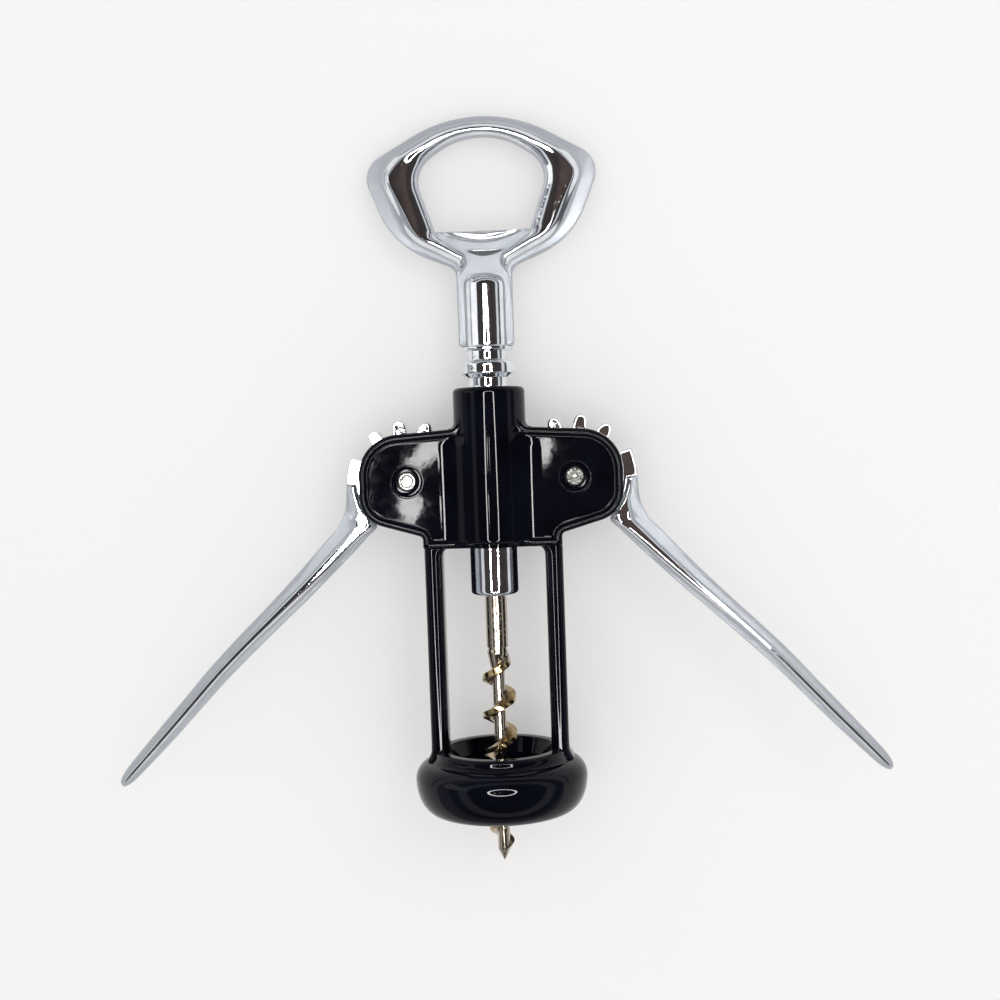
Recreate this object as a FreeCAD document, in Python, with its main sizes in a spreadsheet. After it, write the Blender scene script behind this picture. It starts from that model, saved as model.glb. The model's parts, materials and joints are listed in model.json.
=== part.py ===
import FreeCAD, Part
import math
import os
import Sketcher
from FreeCAD import Placement, Rotation, Vector

# Wing corkscrew, lying flat: X across the levers, Y up the spindle towards the opener ring, Z up.
# Every piece is drawn about the line through the two lever pivots (Y = 0, Z = 0) or about its own
# pivot, and its Placement then lifts it so that the bell rests on Z = 0.

doc = FreeCAD.newDocument("WingCorkscrew")
sheet = doc.addObject("Spreadsheet::Sheet", "Sizes")

SIZES = (
    # levers, pivots and their mesh with the rack
    ("pivot_offset", 21.15, "lever pivot to spindle axis"),
    ("arm_angle", 45.0, "arms below the horizontal, as drawn, in degrees"),
    ("rack_pitch", 6.9, "spacing of the rack rings"),
    ("gear_count", 13, "teeth that would fill the whole gear circle"),
    ("tooth_count", 7, "teeth cut on each lever"),
    ("tooth_phase", 0.75, "turn of the tooth gap from the pivot line, in degrees"),
    ("tooth_play", 0.14, "side play of a tooth in its groove"),
    ("tooth_root_half", 2.1, "half width of a tooth at the hub"),
    ("tooth_tip_gap", 0.3, "tooth tip to groove floor"),
    ("hub_radius", 12.0, "gear root circle"),
    ("gear_half", 2.8, "half thickness of hub and teeth"),
    ("gear_side_gap", 0.2, "hub side to ear slot"),
    ("shoulder_radius", 15.6, "blank shoulder that follows the last tooth"),
    ("slot_gap", 1.2, "shoulder to the end of the slot in the frame"),
    ("arm_length", 109.4, "pivot to arm tip"),
    ("arm_root_width", 6.1, "width of the arm at its root"),
    ("arm_tip_width", 3.5, "width of the arm at its tip"),
    ("arm_flange_half", 1.4, "half thickness of the arm's side flanges at the root"),
    ("arm_rib_half", 3.3, "half thickness of the arm's rib at the root"),
    ("arm_tip_half", 1.7, "half thickness of the arm at its tip"),
    ("rib_share", 0.5, "rib width as a share of the arm width"),
    ("ear_gap", 1.45, "lever shoulder to ear edge"),
    # pivot pins
    ("pin_radius", 2.45, "pivot pin"),
    ("pin_fit", 0.02, "pin in the ears, radial"),
    ("lever_fit", 0.05, "lever on its pin, radial"),
    ("counterbore_radius", 3.75, "recess round a pin end"),
    ("counterbore_depth", 1.1, "depth of that recess"),
    ("pin_recess", 0.3, "pin end below the ear panel"),
    # frame casting
    ("barrel_radius", 9.15, "barrel, outside"),
    ("barrel_top", 23.1, "barrel mouth above the pivots"),
    ("body_bottom", 17.3, "underside of the crossbar below the pivots"),
    ("ear_overhang", 12.15, "ear edge beyond the pivot"),
    ("ear_crown", 13.4, "top line of the ears where it would cross the axis"),
    ("ear_top", 11.3, "top line of the ears at their outer corner"),
    ("ear_top_round", 10.5, "rounding of the upper outer corner"),
    ("ear_foot", 9.5, "lower outer corner of the ears below the pivots"),
    ("ear_foot_round", 8.0, "rounding of the lower outer corner"),
    ("ear_notch", 14.1, "where an ear meets its leg, below the pivots"),
    ("ear_notch_round", 1.2, "rounding where an ear meets its leg"),
    ("ear_edge_round", 0.9, "rounding of the ear edges on both faces"),
    ("ear_half", 6.2, "half thickness over the ear rims"),
    ("ear_panel_drop", 1.0, "ear panel below its rim"),
    ("ear_rim", 1.7, "width of the ear rim"),
    ("leg_inner", 13.05, "inside of a leg from the axis"),
    ("leg_width", 4.5, "leg across"),
    ("leg_half", 4.6, "half depth of a leg"),
    ("leg_round", 1.2, "rounding of the long edges of a leg"),
    ("window_round", 1.3, "upper corners of the windows"),
    ("bore_gap", 0.25, "rack ring to barrel bore, radial"),
    # bell
    ("bell_radius", 22.0, "bell, outside"),
    ("bell_centre", 78.7, "widest part of the bell below the pivots"),
    ("bell_half", 6.25, "half height of the bulge"),
    ("bell_rim", 69.0, "upper rim of the bell below the pivots"),
    ("rim_radius", 16.4, "upper rim of the bell, outside"),
    ("bell_shoulder", 5.6, "height over which the bell slopes out below its rim"),
    ("bell_round", 6.0, "rounding between that slope and the widest part"),
    ("opening_radius", 14.8, "upper opening of the bell"),
    ("throat_radius", 12.4, "hole that the cork passes"),
    ("throat_depth", 4.5, "upper rim to throat"),
    ("seat_depth", 7.2, "upper rim to the bottle seat"),
    ("socket_radius", 15.2, "socket for the lip of the bottle"),
    # spindle: rack sleeve, handle and worm
    ("rack_radius", 7.05, "rack rings"),
    ("groove_radius", 5.1, "rack groove floor"),
    ("groove_width", 2.6, "rack groove at its floor"),
    ("groove_flare", 0.9, "widening of a groove towards the handle"),
    ("ring_number", 4, "number of the topmost ring, counted from the pivots"),
    ("nose_radius", 6.55, "plain nose under the rack"),
    ("nose_bottom", 29.6, "nose end below the pivots"),
    ("nose_floor", 2.6, "wall at the end of the nose"),
    ("shaft_radius", 3.6, "handle shaft inside the rack"),
    ("spin_fit", 0.05, "turning fit in the rack, radial"),
    ("end_gap", 0.1, "end play of the handle on the rack"),
    ("stem_radius", 5.3, "round column of the stem"),
    ("stem_half_width", 7.0, "stem over its side flanges"),
    ("stem_top", 51.6, "upper end of the column above the pivots"),
    ("lip_radius", 6.65, "lip at the foot of the stem"),
    ("lip_height", 0.9, "height of that lip"),
    ("ring_top", 90.8, "top of the opener ring above the pivots"),
    ("ring_half_width", 28.8, "opener ring, half its width"),
    ("ring_foot", 53.1, "where the ring leaves the stem, above the pivots"),
    ("ring_shoulder", 59.7, "lower shoulder of the ring above the pivots"),
    ("ring_waist", 11.8, "widest part of the ring below its top"),
    ("ring_half", 3.9, "half thickness of the ring at its ridge"),
    ("ring_edge_half", 1.5, "half thickness of the ring at its outer flange"),
    ("hole_half_width", 16.6, "opener hole, half its width"),
    ("hole_top", 87.4, "top of the opener hole above the pivots"),
    ("lifter_edge", 62.4, "cap lifter edge above the pivots"),
    ("web_half", 1.4, "half thickness of the cap lifter web"),
    ("shank_radius", 2.75, "worm shank"),
    ("shank_end", 44.0, "end of the shank below the pivots"),
    ("shank_grip", 15.0, "shank held in the handle shaft"),
    ("worm_tip", 98.4, "worm point below the pivots"),
    ("worm_pitch", 9.7, "lead of the worm"),
    ("core_radius", 1.6, "worm core"),
    ("fin_radius", 4.3, "worm fin"),
    ("fin_root", 3.7, "fin thickness at the core"),
    ("fin_crest", 0.5, "fin thickness at its edge"),
    ("shank_taper", 6.0, "height over which the shank narrows and the fin grows"),
    ("worm_point", 11.0, "height of the point"),
    ("worm_phase", -117.0, "turn of the fin about the axis, in degrees"),
)

for row, (alias, value, note) in enumerate(SIZES, 1):
    sheet.set("A%d" % row, alias)
    sheet.set("B%d" % row, str(value))
    sheet.setAlias("B%d" % row, alias)
    sheet.set("C%d" % row, note)
doc.recompute()


class Size:
    """A dimension kept both as a number and as the spreadsheet expression that gives it."""

    def __init__(self, value, text):
        self.value = float(value)
        self.text = text

    def __add__(self, other):
        other = as_size(other)
        return Size(self.value + other.value, "(%s + %s)" % (self.text, other.text))

    def __sub__(self, other):
        other = as_size(other)
        return Size(self.value - other.value, "(%s - %s)" % (self.text, other.text))

    def __mul__(self, other):
        other = as_size(other)
        return Size(self.value * other.value, "(%s * %s)" % (self.text, other.text))

    def __truediv__(self, other):
        other = as_size(other)
        return Size(self.value / other.value, "(%s / %s)" % (self.text, other.text))

    def __neg__(self):
        return self * -1

    def __radd__(self, other):
        return as_size(other) + self

    def __rsub__(self, other):
        return as_size(other) - self

    def __rmul__(self, other):
        return as_size(other) * self

    def __rtruediv__(self, other):
        return as_size(other) / self


def as_size(number):
    return number if isinstance(number, Size) else Size(number, repr(float(number)))


class Sheet:
    """Reads a named size out of the spreadsheet."""

    def __getattr__(self, alias):
        return Size(sheet.get(alias), "Sizes." + alias)


S = Sheet()


def bind(thing, name, size):
    size = as_size(size)
    if name in thing.PropertiesList:
        setattr(thing, name, size.value)
    thing.setExpression(name, size.text)


def origin_plane(body, role):
    return [f for f in body.Origin.OriginFeatures if f.Role == role][0]


def new_sketch(body, name, role="XY_Plane", lift=None, turn=None):
    """Sketch on a plane of the body's origin, lifted along its normal or turned about it."""
    sketch = body.newObject("Sketcher::SketchObject", name)
    sketch.AttachmentSupport = (origin_plane(body, role), [""])
    sketch.MapMode = "FlatFace"
    angle = as_size(0 if turn is None else turn)
    height = as_size(0 if lift is None else lift)
    turned = Rotation(Vector(0, 0, 1), angle.value)
    sketch.AttachmentOffset = Placement(Vector(0, 0, height.value), turned)
    if lift is not None:
        sketch.setExpression("AttachmentOffset.Base.z", height.text)
    if turn is not None:
        sketch.setExpression("AttachmentOffset.Rotation.Angle", angle.text)
    return sketch


def hold(sketch, geometry, position, x, y):
    """Fixes one point of the sketch at x, y from the sketch origin."""
    for kind, size, axis in (("DistanceX", as_size(x), -2), ("DistanceY", as_size(y), -1)):
        if size.value == 0:
            sketch.addConstraint(Sketcher.Constraint("PointOnObject", geometry, position, axis))
            continue
        rule = Sketcher.Constraint(kind, -1, 1, geometry, position, size.value)
        index = sketch.addConstraint(rule)
        sketch.setExpression("Constraints[%d]" % index, size.text)


def outline(sketch, corners):
    """Closed outline through corners (x, y) or (x, y, rounding), in order."""
    corners = [tuple(as_size(v) for v in corner) for corner in corners]
    count = len(corners)
    points = [Vector(corner[0].value, corner[1].value, 0) for corner in corners]
    enter, leave, centres = [], [], []
    for i, corner in enumerate(corners):
        if len(corner) == 2:
            enter.append(points[i])
            leave.append(points[i])
            centres.append(None)
            continue
        back = (points[i - 1] - points[i]).normalize()
        ahead = (points[(i + 1) % count] - points[i]).normalize()
        half = back.getAngle(ahead) / 2
        radius = corner[2].value
        enter.append(points[i] + back * (radius / math.tan(half)))
        leave.append(points[i] + ahead * (radius / math.tan(half)))
        centres.append(points[i] + (back + ahead).normalize() * (radius / math.sin(half)))
    lines = []
    for i in range(count):
        line = Part.LineSegment(leave[i], enter[(i + 1) % count])
        lines.append(sketch.addGeometry(line, False))
    for i, corner in enumerate(corners):
        before, after = lines[i - 1], lines[i]
        if centres[i] is None:
            sketch.addConstraint(Sketcher.Constraint("Coincident", before, 2, after, 1))
            hold(sketch, after, 1, corner[0], corner[1])
            continue
        first = enter[i] - centres[i]
        last = leave[i] - centres[i]
        left_turn = first.cross(last).z > 0
        ends = (first, last) if left_turn else (last, first)
        angles = [math.atan2(end.y, end.x) for end in ends]
        circle = Part.Circle(centres[i], Vector(0, 0, 1), corner[2].value)
        arc = sketch.addGeometry(Part.ArcOfCircle(circle, angles[0], angles[1]), False)
        start, end = (1, 2) if left_turn else (2, 1)
        mark = sketch.addGeometry(Part.Point(points[i]), True)
        sketch.addConstraint(Sketcher.Constraint("Tangent", before, 2, arc, start))
        sketch.addConstraint(Sketcher.Constraint("Tangent", arc, end, after, 1))
        sketch.addConstraint(Sketcher.Constraint("PointOnObject", mark, 1, before))
        sketch.addConstraint(Sketcher.Constraint("PointOnObject", mark, 1, after))
        hold(sketch, mark, 1, corner[0], corner[1])
        index = sketch.addConstraint(Sketcher.Constraint("Radius", arc, corner[2].value))
        sketch.setExpression("Constraints[%d]" % index, corner[2].text)


def disc(sketch, x, y, radius):
    """Circle of the given radius about x, y."""
    x, y, radius = as_size(x), as_size(y), as_size(radius)
    circle = Part.Circle(Vector(x.value, y.value, 0), Vector(0, 0, 1), radius.value)
    index = sketch.addGeometry(circle, False)
    hold(sketch, index, 3, x, y)
    rule = sketch.addConstraint(Sketcher.Constraint("Radius", index, radius.value))
    sketch.setExpression("Constraints[%d]" % rule, radius.text)


def slab(body, name, sketch, thickness, kind="Pad"):
    """Pad or Pocket of a sketch, the same amount to both sides."""
    feature = body.newObject("PartDesign::" + kind, name)
    feature.Profile = sketch
    feature.SideType = "Symmetric"
    bind(feature, "Length", thickness)
    return feature


def turned(body, name, sketch, axis="V_Axis", kind="Revolution"):
    """Revolution or Groove of a sketch about one of its own axes."""
    feature = body.newObject("PartDesign::" + kind, name)
    feature.Profile = sketch
    feature.ReferenceAxis = (sketch, [axis])
    feature.Angle = 360
    return feature


def both_faces(body, name, sketch, depth):
    """Pocket from a lifted sketch outwards, repeated on the opposite face."""
    cut = body.newObject("PartDesign::Pocket", name)
    cut.Profile = sketch
    cut.Reversed = True
    bind(cut, "Length", depth)
    mirror = body.newObject("PartDesign::Mirrored", name + "_back")
    mirror.Originals = [cut]
    mirror.MirrorPlane = (origin_plane(body, "XY_Plane"), [""])
    body.Tip = mirror
    return mirror


def rounded(body, name, radius, chosen):
    """Fillet on every edge of the body so far for which chosen(edge) holds."""
    doc.recompute()
    base = body.Tip
    edges = base.Shape.Edges
    names = ["Edge%d" % (i + 1) for i, edge in enumerate(edges) if chosen(edge)]
    fillet = body.newObject("PartDesign::Fillet", name)
    fillet.Base = (base, names)
    bind(fillet, "Radius", radius)
    return fillet


def middle(edge):
    return edge.valueAt((edge.FirstParameter + edge.LastParameter) / 2)


def seat(thing, label, x=0, y=0):
    """Names a sub-part and lifts it from the pivot line to its place on the table."""
    thing.Label = label
    base = (as_size(x), as_size(y) + shift_y, S.bell_radius)
    thing.Placement = Placement(Vector(*[size.value for size in base]), Rotation())
    for letter, size in zip("xyz", base):
        thing.setExpression("Placement.Base." + letter, size.text)


# Derived sizes that several pieces share.
shift_y = (S.worm_tip - S.ring_top) / 2
gear_radius = S.rack_pitch * S.gear_count / (2 * math.pi)
tooth_step = 360 / S.gear_count
slot_half = S.gear_half + S.gear_side_gap
panel_half = S.ear_half - S.ear_panel_drop
tooth_tip = S.pivot_offset - S.groove_radius - S.tooth_tip_gap
bore_radius = S.rack_radius + S.bore_gap
leg_outer = S.leg_inner + S.leg_width
ear_edge = S.pivot_offset + S.ear_overhang
mesh_height = gear_radius * S.tooth_phase * (math.pi / 180)
collar_top = mesh_height + S.rack_pitch * (S.ring_number + 0.5) - S.groove_width / 2
stem_foot = collar_top + S.groove_width
bell_bottom = S.bell_centre + S.bell_half


# ---------------------------------------------------------------- frame casting
frame = doc.addObject("PartDesign::Body", "FrameBody")

# Front and back ears as one D-shaped plate on each side, joined across the barrel.
EAR_CORNERS = (
    (ear_edge, S.ear_top, S.ear_top_round),
    (ear_edge, -S.ear_foot, S.ear_foot_round),
    (leg_outer, -S.ear_notch, S.ear_notch_round),
)
ears = new_sketch(frame, "ears_outline")
right = [(leg_outer, -S.body_bottom)]
left = [(-leg_outer, -S.body_bottom)]
for corner_x, corner_y, rounding in reversed(EAR_CORNERS):
    right.append((corner_x, corner_y, rounding))
    left.append((-corner_x, corner_y, rounding))
outline(ears, right + [(0, S.ear_crown)] + left[::-1])
frame.Tip = slab(frame, "ears", ears, 2 * S.ear_half)
rounded(frame, "ear_edges", S.ear_edge_round,
        lambda edge: abs(abs(middle(edge).z) - S.ear_half.value) < 0.001)

# The panel of each ear lies below its rim.
panels = new_sketch(frame, "panel_outline", lift=panel_half)
for side in (1, -1):
    outline(panels, [
        (side, S.ear_crown - 0.2 - S.ear_rim),
        (side * (ear_edge - S.ear_rim), S.ear_top + 0.1 - S.ear_rim, S.ear_top_round - S.ear_rim),
        (side * (ear_edge - S.ear_rim), S.ear_rim - S.ear_foot - 0.2,
         S.ear_foot_round - S.ear_rim),
        (side * (leg_outer - S.ear_rim), S.ear_rim * 0.8 - S.ear_notch,
         S.ear_notch_round + S.ear_rim),
        (side * (leg_outer - S.ear_rim), S.ear_rim - S.body_bottom),
        (side, S.ear_rim - S.body_bottom),
    ])
both_faces(frame, "panels", panels, S.ear_panel_drop + 1)

# Round barrel, which carries on between the ears as a bulge.
barrel = new_sketch(frame, "barrel_outline")
outline(barrel, [
    (0, -S.body_bottom),
    (S.barrel_radius, -S.body_bottom),
    (S.barrel_radius, S.barrel_top - 0.9),
    (S.barrel_radius - 0.9, S.barrel_top),
    (0, S.barrel_top),
])
turned(frame, "barrel", barrel)

# Two legs down to the bell, round along their edges.
legs = new_sketch(frame, "legs_section", role="XZ_Plane", lift=S.body_bottom - 1)
for side in (1, -1):
    outline(legs, [
        (side * S.leg_inner, -S.leg_half, S.leg_round),
        (side * leg_outer, -S.leg_half, S.leg_round),
        (side * leg_outer, S.leg_half, S.leg_round),
        (side * S.leg_inner, S.leg_half, S.leg_round),
    ])
leg_pad = frame.newObject("PartDesign::Pad", "legs")
leg_pad.Profile = legs
bind(leg_pad, "Length", S.bell_rim + S.throat_depth - S.body_bottom + 1)

# Round upper corners of the windows between legs and barrel.
gussets = new_sketch(frame, "window_corners")
for side in (1, -1):
    outline(gussets, [
        (side * (S.leg_inner + 1), 1 - S.body_bottom),
        (side * (S.leg_inner + 1), -S.body_bottom - 2 * S.window_round),
        (side * S.leg_inner, -S.body_bottom - 2 * S.window_round),
        (side * S.leg_inner, -S.body_bottom, S.window_round),
        (side * (S.leg_inner - 2 * S.window_round), -S.body_bottom),
        (side * (S.leg_inner - 2 * S.window_round), 1 - S.body_bottom),
    ])
slab(frame, "windows", gussets, 2 * (S.leg_half - S.leg_round))

# Bell: a round bulge that slopes up to a narrow rim.
bell = new_sketch(frame, "bell_outline")
outline(bell, [
    (0, -bell_bottom),
    (S.bell_radius, -bell_bottom, S.bell_half * 0.85),
    (S.bell_radius, -S.bell_rim - S.bell_shoulder, S.bell_round),
    (S.rim_radius, -S.bell_rim),
    (0, -S.bell_rim),
])
turned(frame, "bell", bell)

# Funnel, throat and bottle socket through the bell.
cavity = new_sketch(frame, "bell_cavity_outline")
outline(cavity, [
    (0, 1 - S.bell_rim),
    (S.opening_radius + (S.opening_radius - S.throat_radius) / S.throat_depth, 1 - S.bell_rim),
    (S.throat_radius, -S.bell_rim - S.throat_depth),
    (S.throat_radius, -S.bell_rim - S.seat_depth),
    (S.socket_radius, -S.bell_rim - S.seat_depth),
    (S.socket_radius, 0.3 - bell_bottom),
    (S.socket_radius + 0.9, -bell_bottom - 1),
    (0, -bell_bottom - 1),
])
turned(frame, "bell_cavity", cavity, kind="Groove")

# Bore for the rack, chamfered at the mouth.
bore = new_sketch(frame, "bore_outline")
outline(bore, [
    (0, -S.body_bottom - 1),
    (bore_radius, -S.body_bottom - 1),
    (bore_radius, S.barrel_top - 0.5),
    (bore_radius + 1, S.barrel_top + 0.5),
    (0, S.barrel_top + 0.5),
])
turned(frame, "bore", bore, kind="Groove")

# Slots in which the lever hubs turn, open into the bore.
slots = new_sketch(frame, "slot_outline")
for side in (1, -1):
    disc(slots, side * S.pivot_offset, 0, S.shoulder_radius + S.slot_gap)
slab(frame, "slots", slots, 2 * slot_half, kind="Pocket")

# Pin holes, and a recess round each pin end.
holes = new_sketch(frame, "pin_holes_outline")
for side in (1, -1):
    disc(holes, side * S.pivot_offset, 0, S.pin_radius + S.pin_fit)
slab(frame, "pin_holes", holes, 2 * S.ear_half + 2, kind="Pocket")
recesses = new_sketch(frame, "recess_outline", lift=panel_half - S.counterbore_depth)
for side in (1, -1):
    disc(recesses, side * S.pivot_offset, 0, S.counterbore_radius)
both_faces(frame, "recesses", recesses, S.counterbore_depth + 2)
doc.recompute()
seat(frame, "frame")

# ---------------------------------------------------------------- lever
# Drawn about its own pivot; side is 1 for the right lever and -1 for the left.


def make_lever(side, label):
    body = doc.addObject("PartDesign::Body", label + "_body")
    arm_turn = -S.arm_angle if side > 0 else 180 + S.arm_angle
    lowest = S.tooth_phase - tooth_step * 1.5
    first_tooth = lowest if side < 0 else 180 - lowest - tooth_step * (S.tooth_count - 1)

    hub = new_sketch(body, "hub_outline")
    disc(hub, 0, 0, S.hub_radius)
    slab(body, "hub", hub, 2 * S.gear_half)

    tip_half = S.groove_width / 2 - S.tooth_play
    tooth = new_sketch(body, "tooth_outline", turn=first_tooth)
    outline(tooth, [
        (S.hub_radius - 2, -S.tooth_root_half),
        (tooth_tip, -tip_half, tip_half * 0.97),
        (tooth_tip, tip_half, tip_half * 0.97),
        (S.hub_radius - 2, S.tooth_root_half),
    ])
    one = slab(body, "tooth", tooth, 2 * S.gear_half)
    teeth = body.newObject("PartDesign::PolarPattern", "teeth")
    teeth.Originals = [one]
    teeth.Axis = (hub, ["N_Axis"])
    bind(teeth, "Angle", tooth_step * (S.tooth_count - 1))
    teeth.Occurrences = int(S.tooth_count.value)
    teeth.setExpression("Occurrences", S.tooth_count.text)
    body.Tip = teeth

    # Blank shoulder beyond the last tooth, as thin as the gear.
    block = new_sketch(body, "shoulder_outline")
    reach = S.shoulder_radius
    outline(block, [
        (side * reach * 0.5, reach * 0.22),
        (side * reach * 0.935, reach * 0.44, 0.8),
        (side * reach * 1.02, 0, reach * 0.8),
        (side * reach * 0.9, -reach * 0.5),
        (side * reach * 0.3, -reach * 0.5),
    ])
    slab(body, "shoulder", block, 2 * S.gear_half)

    # Root of the arm: full thickness from the ear to the start of the ribbed arm.
    root = new_sketch(body, "root_outline", turn=arm_turn)
    root_inner = -1.75
    root_outer = S.arm_root_width - 1.65
    outline(root, [
        (S.hub_radius - 4, side * root_inner),
        (S.hub_radius + 12, side * root_inner),
        (S.hub_radius + 12, side * root_outer),
        (S.hub_radius + 6, side * root_outer, 8),
        (S.hub_radius - 1.2, side * 11.2, 0.6),
        (S.hub_radius - 3.4, side * 8.9),
        (S.hub_radius - 8, side * 6),
    ])
    slab(body, "root", root, 2 * S.arm_rib_half)
    clearance = new_sketch(body, "ear_clearance_outline", lift=S.gear_half)
    disc(clearance, 0, 0, S.ear_overhang + S.ear_gap)
    both_faces(body, "ear_clearance", clearance, S.arm_rib_half)

    # Ribbed arm, lofted through three cross-sections from root to tip.
    def section(name, distance, offset, width, flange, rib):
        """Cross-section of the arm: two side flanges and a rounded rib between them."""
        sketch = body.newObject("Sketcher::SketchObject", name)
        sketch.AttachmentSupport = (origin_plane(body, "YZ_Plane"), [""])
        sketch.MapMode = "FlatFace"
        distance, angle = as_size(distance), as_size(arm_turn)
        slope = math.radians(angle.value)
        base = Vector(distance.value * math.sin(slope), 0, distance.value * math.cos(slope))
        sketch.AttachmentOffset = Placement(base, Rotation(Vector(0, 1, 0), angle.value))
        place = "AttachmentOffset."
        sketch.setExpression(place + "Base.x", "%s * sin(%s)" % (distance.text, angle.text))
        sketch.setExpression(place + "Base.z", "%s * cos(%s)" % (distance.text, angle.text))
        sketch.setExpression(place + "Rotation.Angle", angle.text)
        middle_line = side * offset
        half = width / 2
        rib_half_width = width * S.rib_share / 2
        corners = []
        for end_x, end_y in ((1, -1), (1, 1), (-1, 1), (-1, -1)):
            steps = [
                (half, flange * 0.55),
                (half - flange * 0.45, flange),
                (rib_half_width, flange),
                (rib_half_width, rib * 0.82),
                (rib_half_width * 0.55, rib),
            ]
            steps = [(middle_line + end_x * x, end_y * y) for x, y in steps]
            corners += steps if end_x * end_y > 0 else steps[::-1]
        outline(sketch, corners)
        return sketch

    start = section("arm_start", S.hub_radius + 11, S.arm_root_width / 2 - 1.7,
                    S.arm_root_width, S.arm_flange_half, S.arm_rib_half)
    halfway = section("arm_middle", S.arm_length * 0.6, S.arm_root_width / 2 - 0.95,
                      S.arm_root_width - 0.45, S.arm_flange_half * 0.9, S.arm_rib_half * 0.8)
    finish = section("arm_end", S.arm_length - S.arm_tip_width / 2, S.arm_tip_width / 2 - 0.85,
                     S.arm_tip_width, S.arm_flange_half * 0.7, S.arm_tip_half)
    loft = body.newObject("PartDesign::AdditiveLoft", "arm")
    loft.Profile = start
    loft.Sections = [halfway, finish]
    loft.Ruled = True

    # Round tip of the arm.
    tip = new_sketch(body, "tip_outline", turn=arm_turn)
    tip_middle = side * (S.arm_tip_width / 2 - 0.85)
    disc(tip, S.arm_length - S.arm_tip_width / 2, tip_middle, S.arm_tip_width / 2)
    slab(body, "tip", tip, 1.4 * S.arm_flange_half)

    # Hole for the pivot pin.
    hole = new_sketch(body, "pin_hole_outline")
    disc(hole, 0, 0, S.pin_radius + S.lever_fit)
    slab(body, "pin_hole", hole, 2 * S.gear_half + 2, kind="Pocket")
    doc.recompute()
    seat(body, label, x=side * S.pivot_offset)
    return body


left_lever = make_lever(-1, "left_lever")
right_lever = make_lever(1, "right_lever")


# ---------------------------------------------------------------- pivot pins


def make_pin(side, label):
    """Riveted pin through both ears, with a dimple in each end."""
    body = doc.addObject("PartDesign::Body", label + "_body")
    half = panel_half - S.pin_recess
    profile = new_sketch(body, "pin_outline", role="XZ_Plane")
    outline(profile, [
        (0, -half + 0.5),
        (1.1, -half),
        (S.pin_radius - 0.4, -half),
        (S.pin_radius, 0.4 - half),
        (S.pin_radius, half - 0.4),
        (S.pin_radius - 0.4, half),
        (1.1, half),
        (0, half - 0.5),
    ])
    turned(body, "pin", profile)
    doc.recompute()
    seat(body, label, x=side * S.pivot_offset)
    return body


left_pin = make_pin(-1, "left_pivot_pin")
right_pin = make_pin(1, "right_pivot_pin")

# ---------------------------------------------------------------- rack sleeve
rack = doc.addObject("PartDesign::Body", "RackBody")
nose_top = mesh_height - S.rack_pitch * 2 - S.rack_pitch / 2 + S.groove_width / 2
rack_outline = new_sketch(rack, "rack_outline")
outline(rack_outline, [
    (0, -S.nose_bottom),
    (S.nose_radius - 1.6, -S.nose_bottom),
    (S.nose_radius - 0.5, 0.45 - S.nose_bottom),
    (S.nose_radius, 1.8 - S.nose_bottom),
    (S.nose_radius, nose_top),
    (S.rack_radius, nose_top),
    (S.rack_radius, collar_top - 0.7),
    (S.rack_radius - 0.7, collar_top),
    (S.groove_radius, collar_top),
    (S.groove_radius, stem_foot - S.end_gap),
    (0, stem_foot - S.end_gap),
])
turned(rack, "rack", rack_outline)

# Lowest groove, then the same groove at every pitch up to the top ring.
lowest_groove = mesh_height - S.rack_pitch * 1.5
groove_half = S.groove_width / 2
groove = new_sketch(rack, "groove_outline")
outline(groove, [
    (S.groove_radius, lowest_groove - groove_half),
    (S.rack_radius + 0.5, lowest_groove - groove_half - 0.4),
    (S.rack_radius + 0.5, lowest_groove + groove_half + S.groove_flare + 0.3),
    (S.groove_radius, lowest_groove + groove_half),
])
one_groove = turned(rack, "groove", groove, kind="Groove")
grooves = rack.newObject("PartDesign::LinearPattern", "grooves")
grooves.Originals = [one_groove]
grooves.Direction = (groove, ["V_Axis"])
bind(grooves, "Length", S.rack_pitch * (S.ring_number + 1))
grooves.Occurrences = int(S.ring_number.value) + 2
grooves.setExpression("Occurrences", "Sizes.ring_number + 2")
rack.Tip = grooves

# Through bore for the handle shaft, stepped down for the worm at the nose.
rack_bore = new_sketch(rack, "rack_bore_outline")
outline(rack_bore, [
    (0, -S.nose_bottom - 1),
    (S.shank_radius + S.spin_fit, -S.nose_bottom - 1),
    (S.shank_radius + S.spin_fit, S.nose_floor - S.nose_bottom),
    (S.shaft_radius + S.spin_fit, S.nose_floor - S.nose_bottom),
    (S.shaft_radius + S.spin_fit, stem_foot + 1),
    (0, stem_foot + 1),
])
turned(rack, "rack_bore", rack_bore, kind="Groove")
doc.recompute()
seat(rack, "rack_sleeve")

# ---------------------------------------------------------------- opener handle
handle = doc.addObject("PartDesign::Body", "HandleBody")


def mirrored_outline(sketch, half, closing):
    """Outline from its right half, repeated on the left, with its closing corners on the axis."""
    flipped = [(-as_size(corner[0]),) + tuple(corner[1:]) for corner in half[::-1]]
    outline(sketch, list(half) + list(closing) + flipped)


def ring_half_outline(edge, foot):
    """Right half of the ring's outline, inset from its outer edge."""
    wing_x = S.ring_half_width + 1.6 - edge * 1.25
    return [
        (S.stem_half_width - edge * 0.4, foot),
        (S.stem_half_width - edge * 0.4, S.ring_foot + edge * 0.9, 3.2 - edge * 0.5),
        (S.ring_half_width - 6.0 - edge * 0.9, S.ring_shoulder + edge * 0.8, 18 - edge),
        (wing_x, S.ring_top - S.ring_waist, 6.2 - edge * 0.8),
    ]


# Thin outer flange with the full outline of ring and neck.
flange = new_sketch(handle, "flange_outline")
peak = S.ring_top + 5.4
mirrored_outline(flange, ring_half_outline(0, stem_foot + S.lip_height),
                 [(0, peak, 35)])
slab(handle, "flange", flange, 2 * S.ring_edge_half)

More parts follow.
